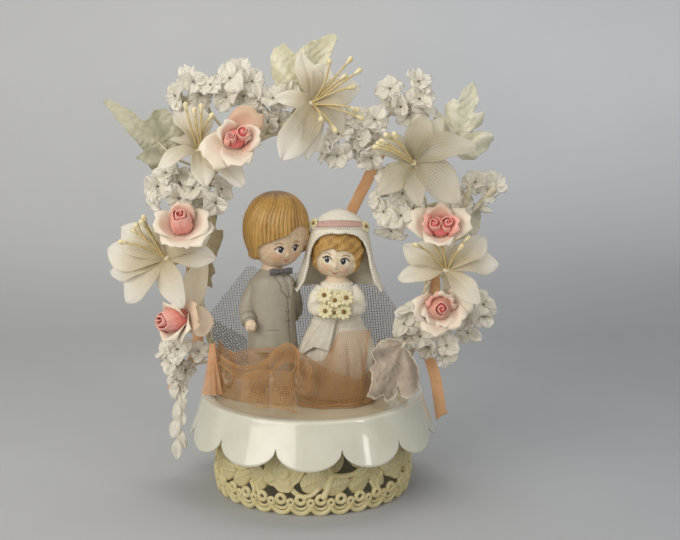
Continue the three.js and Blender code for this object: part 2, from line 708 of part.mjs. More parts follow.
function tulleBow() {
  const knot = ball(TULLE_KNOT_RADII, TULLE_KNOT, 6, 5);
  const strip = (points, width) => {
    const path = curveThrough(points);
    const point = (u, v) => {
      const gathered = 0.35 + 0.65 * Math.sin(Math.PI * Math.min(v * 1.2, 0.5));
      const wave = 0.8 * Math.sin(TURN * 2 * u) * Math.sin(Math.PI * v);
      const place = path.getPoint(v);
      return place.add(new THREE.Vector3(wave, 0, (u - 0.5) * width * gathered));
    };
    return sheet(point, 2, 8, TULLE_THICKNESS);
  };
  const tail = (() => {
    const path = curveThrough([[-17, -30, 8], [-22, -34, 4], [-27, -39, 2.6], [-30, -43, 2.4]]);
    const point = (u, v) => {
      const place = path.getPoint(v);
      const width = TULLE_TAIL_WIDTH * (0.3 + 0.7 * v);
      const wave = 0.7 * Math.sin(TURN * 1.5 * u) * v;
      return place.add(new THREE.Vector3((u - 0.5) * width, (0.5 - u) * width * 0.3, wave));
    };
    return sheet(point, 4, 4, TULLE_THICKNESS);
  })();
  const pathLeft = [
    [-17, -29, 9], [-27, -27.5, 11], [-36, -29, 10], [-34, -33, 9], [-24, -32.5, 9], [-16, -30, 9],
  ];
  const pathRight = [
    [-15, -29, 10], [-8, -29.5, 14], [-1, -31, 15], [-2, -34, 13], [-9, -33, 11], [-15, -30, 9],
  ];
  const loopLeft = strip(pathLeft, TULLE_LOOP_WIDTHS[0]);
  const loopRight = strip(pathRight, TULLE_LOOP_WIDTHS[1]);
  return mesh("tulle_bow", joined([knot, loopLeft, loopRight, tail]), PEACH_TULLE);
}

// Satin ribbons: a flat strip that starts on the back of the arch and hangs by way of the given steps

function ribbon(name, { share, steps, wayAcross }) {
  const behind = ARCH_WIRE_RADIUS + SEAT_GAP + RIBBON_THICKNESS / 2;
  const start = onArch(share, [0, behind, 0]);
  const points = [[0, 0, 0], ...steps].map((step) => vector(step).add(start));
  const path = new THREE.CatmullRomCurve3(points);
  const across = vector(wayAcross).normalize();
  const point = (u, v) => path.getPoint(v).addScaledVector(across, (u - 0.5) * RIBBON_WIDTH);
  return mesh(name, sheet(point, 1, 8, RIBBON_THICKNESS), PEACH_SATIN);
}

// The groom: coat and legs, head, hair and tie

function groom() {
  const neck = GROOM_CHIN_HEIGHT;
  const coat = loft(
    [
      [GROOM_HEM_HEIGHT, GROOM_HEM_RADIUS, GROOM_HEM_RADIUS * 0.82],
      [GROOM_HEM_HEIGHT + 14, GROOM_HEM_RADIUS * 0.93, GROOM_HEM_RADIUS * 0.76],
      [GROOM_SHOULDER_HEIGHT - 8, GROOM_CHEST_RADIUS, GROOM_CHEST_RADIUS * 0.84],
      [GROOM_SHOULDER_HEIGHT, GROOM_CHEST_RADIUS * 0.78, GROOM_CHEST_RADIUS * 0.66],
      [neck - 2 * SEAT_GAP, GROOM_NECK_RADIUS, GROOM_NECK_RADIUS],
    ],
    12,
  );
  const leg = (side) =>
    loft(
      [
        [STAND, GROOM_LEG_RADIUS * 1.17, GROOM_SHOE_LENGTH / 2, side * GROOM_LEG_SPREAD, -2],
        [5, GROOM_LEG_RADIUS, GROOM_LEG_RADIUS * 1.17, side * GROOM_LEG_SPREAD, -1],
        [GROOM_HEM_HEIGHT + 4, GROOM_LEG_RADIUS * 1.2, GROOM_LEG_RADIUS * 1.3, side * GROOM_LEG_SPREAD],
      ],
      8,
    );
  const armpit = GROOM_SHOULDER_HEIGHT - 1.3 * GROOM_ARM_RADIUS;
  const elbow = [-GROOM_HEM_RADIUS * 0.92, -2, armpit - 14];
  const wrist = [-GROOM_HEM_RADIUS * 0.86, -9.5, armpit - 20];
  const upperArm = limb([-GROOM_CHEST_RADIUS * 0.8, 0, armpit], elbow, GROOM_ARM_RADIUS);
  const foreArm = limb(elbow, wrist, GROOM_ARM_RADIUS * 0.92);
  const hand = ball([2.6, 2.8, 3], [wrist[0] + 0.6, wrist[1] - 3.4, wrist[2] - 0.6], 7, 5);
  const farShoulder = [GROOM_CHEST_RADIUS * 0.7, 3, armpit - 2];
  const farElbow = [GROOM_HEM_RADIUS * 0.95, 11, armpit - 8];
  const farArm = limb(farShoulder, farElbow, GROOM_ARM_RADIUS * 0.8);
  const body = joined([coat, leg(-1), leg(1), upperArm, foreArm, hand, farArm]);

  const r = GROOM_HEAD_RADIUS;
  const h = GROOM_HEAD_HEIGHT;
  const skull = (grow) => [
    [h * 0.4, r + grow, r + grow],
    [h * 0.6, r + grow, r * 1.04 + grow],
    [h * 0.8 + grow / 2, r * 0.82 + grow, r * 0.9 + grow],
    [h * 0.94 + grow, r * 0.46 + grow, r * 0.52 + grow],
    [h + grow, r * 0.1 + grow, r * 0.1 + grow],
  ];
  const jaw = [
    [0, r * 0.28, r * 0.3, 0, -r * 0.12],
    [h * 0.07, r * 0.58, r * 0.62, 0, -r * 0.06],
    [h * 0.2, r * 0.86, r * 0.86],
  ];
  const head = loft([...jaw, ...skull(0)], 12);
  const cap = ball(
    [r + GROOM_HAIR_THICKNESS, r * 1.04 + GROOM_HAIR_THICKNESS, h * 0.52 + GROOM_HAIR_THICKNESS],
    [0, r * 0.06, h * 0.55], 14, 9,
  );
  const inside = loft([[-h, r + NESTED_GAP, r + NESTED_GAP], ...skull(NESTED_GAP)], 12);
  const faceOpening = block([-r * 0.8, -3 * r, -h], [r * 0.8, -r * 0.3, h * 0.66]);
  const jawOpening = block([-3 * r, -3 * r, -h], [3 * r, r * 0.25, h * 0.36]);
  const napeOpening = block([-3 * r, -3 * r, -h], [3 * r, 3 * r, h * 0.2]);
  const hair = largestBody(cutBy(cap, [inside, faceOpening, jawOpening, napeOpening]));

  const headTurn = new THREE.Quaternion().setFromAxisAngle(UP, GROOM_HEAD_TURN);
  const headPlace = new THREE.Vector3(1.6, -1, neck);
  const tieHalf = (side) => {
    const cone = new THREE.ConeGeometry(TIE_RADIUS, TIE_HALF_LENGTH, 6).rotateZ((side * TURN) / 4);
    return solidOf(cone.translate(side * TIE_HALF_LENGTH * 0.4, 0, 0));
  };
  const tieKnot = ball([1.2, 1.6, 1.4], [0, 0, 0], 6, 5);
  const tie = mesh("groom_bow_tie", joined([tieHalf(1), tieHalf(-1), tieKnot]), DARK_TIE);
  tie.position.set(2.6, -GROOM_CHEST_RADIUS * 0.84 - 0.6, GROOM_SHOULDER_HEIGHT - 1);
  return groupAt(
    new THREE.Vector3(...GROOM_PLACE, 0),
    new THREE.Quaternion(),
    mesh("groom_body", body, GREY_COAT),
    groupAt(headPlace, headTurn, mesh("groom_head", head, SKIN), mesh("groom_hair", hair, GOLDEN_HAIR)),
    tie,
  );
}

// The bride: gown with arms, head, hair, hood veil and bouquet

function bride() {
  const hem = BRIDE_HEM_RADIUS;
  const waist = BRIDE_WAIST_RADIUS;
  const gownBody = loft(
    [
      [STAND, hem, hem * 0.97],
      [BRIDE_WAIST_HEIGHT * 0.4, hem * 0.98, hem * 0.92],
      [BRIDE_WAIST_HEIGHT * 0.78, hem * 0.88, hem * 0.76],
      [BRIDE_WAIST_HEIGHT, waist, waist * 0.9],
      [BRIDE_SHOULDER_HEIGHT - 7, waist * 1.02, waist * 0.82],
      [BRIDE_SHOULDER_HEIGHT, waist * 0.78, waist * 0.62],
      [BRIDE_CHIN_HEIGHT - 2 * SEAT_GAP, BRIDE_NECK_RADIUS, BRIDE_NECK_RADIUS],
    ],
    14,
  );
  const arm = (side) => {
    const shoulder = [side * waist * 0.84, 0, BRIDE_SHOULDER_HEIGHT - 3];
    const elbow = [side * waist * 1.22, -3, BRIDE_WAIST_HEIGHT + 7];
    const hand = [side * 4.6, -waist - 2.4, BRIDE_WAIST_HEIGHT + 5];
    return limb(shoulder, elbow, BRIDE_ARM_RADIUS).add(limb(elbow, hand, BRIDE_ARM_RADIUS * 0.9));
  };
  const gown = joined([gownBody, arm(-1), arm(1)]);

  const r = BRIDE_HEAD_RADIUS;
  const h = BRIDE_HEAD_HEIGHT;
  const headSections = (grow) => [
    [h * 0.42, r + grow, r + grow],
    [h * 0.62, r + grow, r * 1.02 + grow],
    [h * 0.82 + grow / 2, r * 0.8 + grow, r * 0.86 + grow],
    [h * 0.95 + grow, r * 0.42 + grow, r * 0.46 + grow],
    [h + grow, r * 0.1 + grow, r * 0.1 + grow],
  ];
  const jaw = [
    [0, r * 0.26, r * 0.28, 0, -r * 0.14],
    [h * 0.07, r * 0.58, r * 0.6, 0, -r * 0.06],
    [h * 0.2, r * 0.88, r * 0.88],
  ];
  const head = loft([...jaw, ...headSections(0)], 12);
  const inside = loft([[-h, r + NESTED_GAP, r + NESTED_GAP], ...headSections(NESTED_GAP)], 12);
  const hairOuter = NESTED_GAP + BRIDE_HAIR_THICKNESS;
  const fringe = r + hairOuter * 0.7;
  const cap = loft([[h * 0.22, fringe, fringe], ...headSections(hairOuter)], 12);
  const faceOpening = block([-r * 0.78, -3 * r, -h], [r * 0.78, -r * 0.2, h * 0.66]);
  const hair = largestBody(cutBy(cap, [inside, faceOpening]));

  const veilInner = hairOuter + NESTED_GAP;
  const veilFoot = -2;
  const veilSkin = (grow, foot) => {
    const hemSection = [foot, BRIDE_VEIL_HEM_RADIUS - veilInner + grow - 2.5, r * 1.25 + grow - 2];
    return loft([hemSection, [h * 0.2, r * 1.2 + grow, r * 1.1 + grow], ...headSections(grow)], 12);
  };
  const window = new THREE.Shape();
  window.moveTo(-BRIDE_VEIL_HEM_RADIUS * 0.8, veilFoot - 4);
  window.lineTo(BRIDE_VEIL_HEM_RADIUS * 0.8, veilFoot - 4);
  window.lineTo(r * 0.95, h * 0.45);
  window.absellipse(0, h * 0.45, r * 0.95, h * 0.3, 0, Math.PI, false, 0);
  const opening = solidOf(
    new THREE.ExtrudeGeometry(window, { depth: 3 * r, bevelEnabled: false, curveSegments: 6 })
      .rotateX(TURN / 4)
      .translate(0, -r * 0.1, 0),
  );
  const outerSkin = veilSkin(veilInner + BRIDE_VEIL_THICKNESS, veilFoot);
  const veil = largestBody(cutBy(outerSkin, [veilSkin(veilInner, veilFoot - 1), opening]));

  const headPlace = new THREE.Vector3(0.6, -1, BRIDE_CHIN_HEIGHT);
  const headTurn = new THREE.Quaternion().setFromAxisAngle(UP, BRIDE_HEAD_TURN);

  const mound = ball([BOUQUET_RADIUS, BOUQUET_RADIUS * 0.5, BOUQUET_RADIUS], [0, 0, 0], 10, 6);
  const daisies = [];
  const daisyRows = [[-0.55, 0.35], [0, 0.42], [0.55, 0.35], [-0.32, -0.28], [0.32, -0.28]];
  for (const [x, z] of daisyRows) {
    const direction = new THREE.Vector3(x, -1.1, z);
    const place = new THREE.Vector3(x * BOUQUET_RADIUS, -BOUQUET_RADIUS * 0.42, z * BOUQUET_RADIUS);
    daisies.push(carried(floret(), place, facing(direction.toArray())));
  }
  const bouquet = mesh("bride_bouquet", joined([mound, ...daisies]), CREAM_FLOWERS);
  bouquet.position.set(0, -waist - 5.5, BRIDE_WAIST_HEIGHT + 14.5);
  return groupAt(
    new THREE.Vector3(...BRIDE_PLACE, 0),
    new THREE.Quaternion(),
    mesh("bride_gown", gown, WHITE_BISQUE),
    groupAt(
      headPlace,
      headTurn,
      mesh("bride_head", head, SKIN),
      mesh("bride_hair", hair, GOLDEN_HAIR),
      mesh("bride_veil", veil, WHITE_BISQUE),
    ),
    bouquet,
  );
}

// Where the flowers sit on the arch: a share of its length, and an offset to the flower's foot

const LILIES = [
  { share: 0.205, offset: [-12.5, -19, 0.5], faces: [-0.5, -0.65, 0.45], roll: 0.2 },
  { share: 0.35, offset: [-7, -14, 5], faces: [0.05, -0.65, 0.75], roll: 0.1 },
  { share: 0.51, offset: [0, -17, 4.5], faces: [0.75, -0.6, 0.2], roll: 0.3 },
  { share: 0.655, offset: [4, -19, 2.5], faces: [-0.5, -0.65, 0.5], roll: 0.5 },
  { share: 0.81, offset: [5.5, -18.5, -2], faces: [0.05, -0.75, 0.6], roll: 0.75 },
];

const ROSEBUDS = [
  { share: 0.4, offset: [-4, -28, 2], faces: [0.35, -0.85, 0.25], roll: 0 },
  { share: 0.26, offset: [-3.5, -28, 1.5], faces: [0.05, -0.6, 0.75], roll: 0 },
  { share: 0.125, offset: [-9, -18, -2], faces: [-0.7, -0.65, -0.15], roll: 0 },
  { share: 0.745, offset: [3, -26, 1.5], faces: [0, -0.8, 0.6], roll: 0 },
  { share: 0.855, offset: [3.5, -18, 0], faces: [0.1, -0.95, -0.05], roll: 0 },
];

const FRONT = [0, -1, 0];
const LEANING = [0, -0.7, 0.7];
const LEAVES = [
  { share: 0.325, offset: [-8, -6, 5], points: [-39, -7, 27], front: FRONT, length: 48, width: 22 },
  { share: 0.47, offset: [1.5, -4, 7], points: [18, -4, 28], front: FRONT, length: 34, width: 28 },
  { share: 0.665, offset: [8, -4, 5], points: [24, -2, 32], front: FRONT, length: 40, width: 28 },
  { share: 0.915, offset: [-4, -26, 1], points: [-21, -20, -17], front: LEANING, length: 34, width: 27 },
  { share: 0.165, offset: [5, 7, 1], points: [6, 1, 42], front: FRONT, length: 42, width: 18 },
  { share: 0.795, offset: [2, -2, 0], points: [20, -2, 20], front: FRONT, length: 28, width: 16 },
];

const SPRAYS = [
  { share: 0.38, offset: [-5.5, 0, 8.5], faces: [-0.67, 0.1, 0.74], reach: 20, spread: 0.55, florets: 5 },
  { share: 0.435, offset: [-2, -3, 4], faces: [-0.25, -0.35, 0.9], reach: 15, spread: 0.9, florets: 5 },
  { share: 0.31, offset: [0, -4, 0], faces: [-0.1, -1, 0.05], reach: 16, spread: 1.15, florets: 5 },
  { share: 0.59, offset: [3, -2, 5], faces: [0.5, -0.15, 0.8], reach: 17, spread: 0.7, florets: 5 },
  { share: 0.705, offset: [-3, -4, 0], faces: [-0.4, -0.85, -0.15], reach: 14, spread: 1, florets: 5 },
  { share: 0.725, offset: [6, -2, 2], faces: [0.93, -0.1, 0.3], reach: 34, spread: 0.4, florets: 5 },
  { share: 0.905, offset: [0, -5, 0], faces: [0.05, -1, 0.05], reach: 14, spread: 1.1, florets: 5 },
  { share: 0.065, offset: [-4, -5, 0], faces: [-0.6, -0.75, -0.15], reach: 12, spread: 1, florets: 5 },
  { share: 0.545, offset: [0, -4, -4], faces: [-0.3, -0.65, -0.7], reach: 11, spread: 0.8, florets: 5 },
  { share: 0.865, offset: [6, -3, -1], faces: [0.93, -0.15, -0.15], reach: 20, spread: 0.7, florets: 5 },
];

const BUD_DROP = { share: 0.04, offset: [-20, -1, 1] };

const RIBBONS = [
  {
    name: "ribbon_swag",
    share: 0.615,
    steps: [[-8, 5, -18], [-18, 11, -41], [-28, 13, -81], [-33, 12, -114.5]],
    wayAcross: [0.8, 0, 0.5],
  },
  {
    name: "ribbon_tail_right",
    share: 0.745,
    steps: [[4, 0, -33], [1, 0, -60], [6, -3, -80], [11, -6, -104]],
    wayAcross: [1, 0, 0.2],
  },
  {
    name: "ribbon_tail_left",
    share: 0.255,
    steps: [[-4, 0, -33], [-1, 0, -60], [-9, -1, -76], [-19, -2, -89]],
    wayAcross: [1, 0, -0.3],
  },
];

// Later pieces are trimmed, with the seat gap, where they would run into earlier ones

const NUDGES = [];
for (const axis of [[1, 0, 0], [0, 1, 0], [0, 0, 1]]) {
  NUDGES.push(vector(axis).multiplyScalar(SEAT_GAP), vector(axis).multiplyScalar(-SEAT_GAP));
}

function boxOf(solid, margin) {
  const { min, max } = solid.boundingBox();
  return new THREE.Box3(vector(min), vector(max)).expandByScalar(margin);
}

function trimmed(root) {
  root.updateMatrixWorld(true);
  const settled = [];
  root.traverse((piece) => {
    if (!piece.isMesh) return;
    const outward = piece.matrixWorld;
    let solid = solidOf(piece.geometry.clone().applyMatrix4(outward));
    const before = solid.volume();
    for (const other of settled) {
      if (!boxOf(solid, SEAT_GAP).intersectsBox(other.box)) continue;
      for (const copy of other.copies) solid = solid.subtract(copy);
    }
    if (solid.volume() < before - 1e-6) {
      solid = largestBody(solid);
      piece.geometry = geometryOf(solid).applyMatrix4(outward.clone().invert());
    }
    const world = geometryOf(solid);
    const copies = NUDGES.map((nudge) => solidOf(world.clone().translate(...nudge.toArray())));
    settled.push({ box: boxOf(solid, 0), copies });
  });
  return root;
}

// The topper

const topping = new THREE.Group();
topping.position.z = PLATE_FLOOR;
topping.add(groom(), bride(), archWire(), glue("arch_glue_left", -1), glue("arch_glue_right", 1));
ROSEBUDS.forEach((spec, i) => topping.add(rosebud(i + 1, spec)));
LILIES.forEach((spec, i) => topping.add(lily(i + 1, spec)));
LEAVES.forEach((spec, i) => topping.add(leaf(i + 1, spec)));
SPRAYS.forEach((spec, i) => topping.add(spray(i + 1, spec)));
topping.add(budDrop(BUD_DROP), netFan(), tulleWrap(), tulleBow());
RIBBONS.forEach((spec) => topping.add(ribbon(spec.name, spec)));

const topper = new THREE.Group();
topper.add(baseFiligree(), scallopedPlate(), topping);

export default trimmed(topper);
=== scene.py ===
import bpy
import math
import numpy as np
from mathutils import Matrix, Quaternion, Vector


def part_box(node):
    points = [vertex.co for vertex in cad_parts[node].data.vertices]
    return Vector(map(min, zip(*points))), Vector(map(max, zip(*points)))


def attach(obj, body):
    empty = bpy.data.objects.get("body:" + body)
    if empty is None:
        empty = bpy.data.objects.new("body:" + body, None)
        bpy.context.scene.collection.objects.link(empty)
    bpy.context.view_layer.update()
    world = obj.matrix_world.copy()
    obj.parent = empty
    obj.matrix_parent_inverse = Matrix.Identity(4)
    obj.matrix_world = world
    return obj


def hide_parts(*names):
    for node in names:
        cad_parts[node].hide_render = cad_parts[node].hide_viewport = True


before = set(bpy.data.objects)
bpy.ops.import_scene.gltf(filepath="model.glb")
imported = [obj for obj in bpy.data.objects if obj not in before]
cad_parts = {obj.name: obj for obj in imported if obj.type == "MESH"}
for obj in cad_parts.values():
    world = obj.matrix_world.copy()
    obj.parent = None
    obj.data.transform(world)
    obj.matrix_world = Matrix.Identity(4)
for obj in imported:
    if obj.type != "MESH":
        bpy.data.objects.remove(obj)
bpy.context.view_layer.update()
MM = 0.001
TURN = 2 * math.pi
FLOOR = 44.9
rng = np.random.default_rng(11)
scene = bpy.context.scene
scene.view_settings.view_transform = "Standard"


def lin(code):
    parts = [int(code[i:i + 2], 16) / 255 for i in (1, 3, 5)]
    return tuple(c / 12.92 if c <= 0.04045 else ((c + 0.055) / 1.055) ** 2.4 for c in parts)


def smooth(a, b, x):
    t = np.clip((x - a) / (b - a), 0, 1)
    return t * t * (3 - 2 * t)


# Materials: every colour is broken up by noise, and every surface has its own grain

def material(name, base, other=None, scale=300.0, rough=0.5, bumps=(), tip=None, tip_from=0.35,
             across=None, vertex=False, through=0.0, sheen=0.0, coat=0.0, coat_rough=0.1, sss=0.0,
             sss_radius=(0.004, 0.003, 0.002), spec=0.5, painted_crevice_shade=None, crevice_shade_at=0.5, alpha=1.0,
             rough_spread=0.12, ior=1.45, one_sided=False):
    m = bpy.data.materials.new(name)
    m.use_nodes = True
    tree = m.node_tree
    tree.nodes.clear()
    new = tree.nodes.new

    def join(a, b):
        tree.links.new(a, b)

    def mixed(factor, a, b, blend="MIX"):
        n = new("ShaderNodeMix")
        n.data_type = "RGBA"
        n.blend_type = blend
        for socket, value in ((n.inputs[0], factor), (n.inputs[6], a), (n.inputs[7], b)):
            if hasattr(value, "is_output"):
                join(value, socket)
            elif isinstance(value, tuple):
                socket.default_value = (*value, 1)
            else:
                socket.default_value = value
        return n.outputs[2]

    def ramp(source, low, high):
        n = new("ShaderNodeMapRange")
        n.interpolation_type = "SMOOTHSTEP"
        n.inputs["From Min"].default_value = low
        n.inputs["From Max"].default_value = high
        join(source, n.inputs["Value"])
        return n.outputs["Result"]

    def noise(size, detail=4.0):
        n = new("ShaderNodeTexNoise")
        n.inputs["Scale"].default_value = size
        n.inputs["Detail"].default_value = detail
        join(place, n.inputs["Vector"])
        return n.outputs["Fac"]

    place = new("ShaderNodeTexCoord").outputs["Object"]
    att = new("ShaderNodeAttribute")
    att.attribute_name = "uvw"
    parts = new("ShaderNodeSeparateXYZ")
    join(att.outputs["Vector"], parts.inputs[0])
    p = new("ShaderNodeBsdfPrincipled")
    grain = noise(scale)
    colour = mixed(ramp(grain, 0.3, 0.7), lin(base), lin(other or base))
    if tip:
        colour = mixed(ramp(parts.outputs["Y"], tip_from, 1.0), colour, lin(tip))
    if across:
        tone, times, width = across
        n = new("ShaderNodeMath")
        n.operation = "MULTIPLY"
        n.inputs[1].default_value = times
        join(parts.outputs["X"], n.inputs[0])
        s = new("ShaderNodeMath")
        s.operation = "PINGPONG"
        s.inputs[1].default_value = 0.5
        join(n.outputs[0], s.inputs[0])
        colour = mixed(ramp(s.outputs[0], 0.5 - width, 0.5), colour, lin(tone))
    if vertex:
        col = new("ShaderNodeAttribute")
        col.attribute_name = "Col"
        colour = mixed(1.0, colour, col.outputs["Color"], "MULTIPLY")
    # Painted shade: where Pointiness marks a hollow, the colour goes towards the crevice colour, standing in for the
    # shade that falls in crevices
    if painted_crevice_shade:
        point = new("ShaderNodeNewGeometry").outputs["Pointiness"]
        colour = mixed(ramp(point, crevice_shade_at - 0.06, crevice_shade_at + 0.015), lin(painted_crevice_shade), colour)
    join(colour, p.inputs["Base Color"])
    r = new("ShaderNodeMapRange")
    r.inputs["To Min"].default_value = max(0.02, rough - rough_spread)
    r.inputs["To Max"].default_value = min(1.0, rough + rough_spread)
    join(noise(scale * 2.3, 3.0), r.inputs["Value"])
    join(r.outputs["Result"], p.inputs["Roughness"])
    p.inputs["IOR"].default_value = ior
    p.inputs["Specular IOR Level"].default_value = spec
    p.inputs["Sheen Weight"].default_value = sheen
    p.inputs["Coat Weight"].default_value = coat
    p.inputs["Coat Roughness"].default_value = coat_rough
    p.inputs["Subsurface Weight"].default_value = sss
    p.inputs["Subsurface Radius"].default_value = sss_radius
    p.inputs["Subsurface Scale"].default_value = 1.0
    p.inputs["Alpha"].default_value = alpha
    normal = None
    for kind, size, strength, distance in bumps:
        if kind == "noise":
            height = noise(size, 5.0)
        else:
            n = new("ShaderNodeMath")
            n.operation = "MULTIPLY"
            n.inputs[1].default_value = size * TURN
            join(parts.outputs["X" if kind == "u" else "Y"], n.inputs[0])
            s = new("ShaderNodeMath")
            s.operation = "SINE"
            join(n.outputs[0], s.inputs[0])
            height = s.outputs[0]
        b = new("ShaderNodeBump")
        b.inputs["Strength"].default_value = strength
        b.inputs["Distance"].default_value = distance * MM
        join(height, b.inputs["Height"])
        if normal:
            join(normal, b.inputs["Normal"])
        normal = b.outputs["Normal"]
    if normal:
        join(normal, p.inputs["Normal"])
    surface = p.outputs[0]
    if through:
        t = new("ShaderNodeBsdfTranslucent")
        join(mixed(0.5, colour, (1.0, 0.98, 0.94)), t.inputs["Color"])
        mix = new("ShaderNodeMixShader")
        mix.inputs[0].default_value = through
        join(surface, mix.inputs[1])
        join(t.outputs[0], mix.inputs[2])
        surface = mix.outputs[0]
    if one_sided:
        clear = new("ShaderNodeBsdfTransparent")
        mix = new("ShaderNodeMixShader")
        join(new("ShaderNodeNewGeometry").outputs["Backfacing"], mix.inputs[0])
        join(surface, mix.inputs[1])
        join(clear.outputs[0], mix.inputs[2])
        surface = mix.outputs[0]
    out = new("ShaderNodeOutputMaterial")
    join(surface, out.inputs["Surface"])
    return m


# The ivory's crevice colour is painted shade in the hollows of the filigree
IVORY_PLASTIC = material("ivory_plastic", "#f5eab6", "#faf2ca", 160, 0.4, [("noise", 900, 0.15, 0.15)],
                         painted_crevice_shade="#cdb672", crevice_shade_at=0.46, through=0.55, coat=0.15, coat_rough=0.3)
WHITE_PLASTIC = material("white_plastic", "#c8c7b7", "#d0cfc0", 90, 0.2, [("noise", 260, 0.06, 0.2)],
                         sss=0.15, coat=0.6, coat_rough=0.035, vertex=True)
TAPE = material("floral_tape", "#ddd5be", "#cbbf9f", 500, 0.6, [("noise", 1500, 0.4, 0.15)])
GLUE = material("clear_glue", "#d2c9b2", "#e0d8c4", 300, 0.18, [("noise", 500, 0.3, 0.3)], sss=0.6, coat=0.6)
BISQUE = material("painted_bisque", "#f7f5f2", "#ffffff", 420, 0.5, [("noise", 2200, 0.12, 0.1)],
                  vertex=True, sss=0.12)
HAIR = material("painted_hair", "#ffffff", "#efe6d8", 500, 0.36, [("noise", 1800, 0.15, 0.1)],
                vertex=True, coat=0.2, coat_rough=0.35, sss=0.05)
# Lily petals go from a tan throat to white tips: partly the cloth's own tint, partly painted shade in the throat
PETAL = material("ivory_petal", "#ccbc92", "#d6c9a6", 160, 0.42, [("u", 13, 0.3, 0.1), ("noise", 1300, 0.25, 0.1)],
                 tip="#fffdf6", tip_from=0.05, across=("#f3ecd9", 11, 0.2), through=0.35, sheen=0.25, alpha=0.7)
# A darker, more see-through copy of the ivory petal, used for lily 4 so that it reads as in shade: painted shade
SHEER_SHADED = material("sheer_petal", "#a69a75", "#b5aa85", 160, 0.42, [("u", 13, 0.3, 0.1), ("noise", 1300, 0.25, 0.1)],
                 tip="#e9e4d6", tip_from=0.1, across=("#e6dec8", 11, 0.2), through=0.35, sheen=0.25, alpha=0.5)
FLORET = material("cream_floret", "#f8f4e6", "#fefbf0", 600, 0.26,
                  [("u", 6, 0.45, 0.16), ("noise", 2600, 0.25, 0.08)], tip="#fffcf4", through=0.36, sheen=0.3, coat=0.4, coat_rough=0.35, alpha=0.86)
LEAF = material("cream_satin_leaf", "#fbf8f0", "#ffffff", 240, 0.36, [("v", 90, 0.15, 0.06), ("noise", 1500, 0.35, 0.14)],
                vertex=True, through=0.15, sheen=0.25)
WHITE_SATIN = material("white_satin", "#fbf8f2", "#ffffff", 260, 0.36, [("u", 40, 0.12, 0.05), ("noise", 1500, 0.25, 0.12)],
                       vertex=True, through=0.2, sheen=0.3)
CORAL = material("coral_satin", "#ffffff", "#f6ebe8", 420, 0.36, [("v", 26, 0.2, 0.06), ("noise", 1500, 0.3, 0.12)],
                 vertex=True, through=0.12, sheen=0.3)
PEARL = material("pearl_tip", "#d3c08c", "#e9dcb6", 500, 0.2, [("noise", 2500, 0.12, 0.05)], coat=0.8, sss=0.2)
THREAD = material("stamen_thread", "#bfa86e", "#d2bf8c", 900, 0.35, [("noise", 3000, 0.3, 0.05)], coat=0.3)
NET = material("white_net", "#a39b8d", "#b8b0a1", 400, 0.6, [("noise", 3000, 0.2, 0.05)], through=0.2)
TULLE = material("peach_tulle", "#c99455", "#d5a66a", 150, 0.5, [("noise", 3000, 0.2, 0.05)], through=0.25, sheen=0.2)
RIBBON = material("peach_satin", "#ecb683", "#f2c394", 300, 0.34,
                  [("v", 70, 0.15, 0.06), ("noise", 1200, 0.15, 0.1)], through=0.2, sheen=0.3)
# A dark brown ball stands in for the shade inside each floret's pin-hole: painted shade
PINHOLE_SHADE = material("floret_pinhole_shade", "#5a4432", "#7a6048", 900, 0.6, [("noise", 3000, 0.3, 0.05)])
CENTRE = material("daisy_centre", "#8d6d38", "#745226", 900, 0.55, [("noise", 2600, 0.6, 0.2)])


# Mesh making: grids and loose faces are gathered in one soup per piece, in millimetres

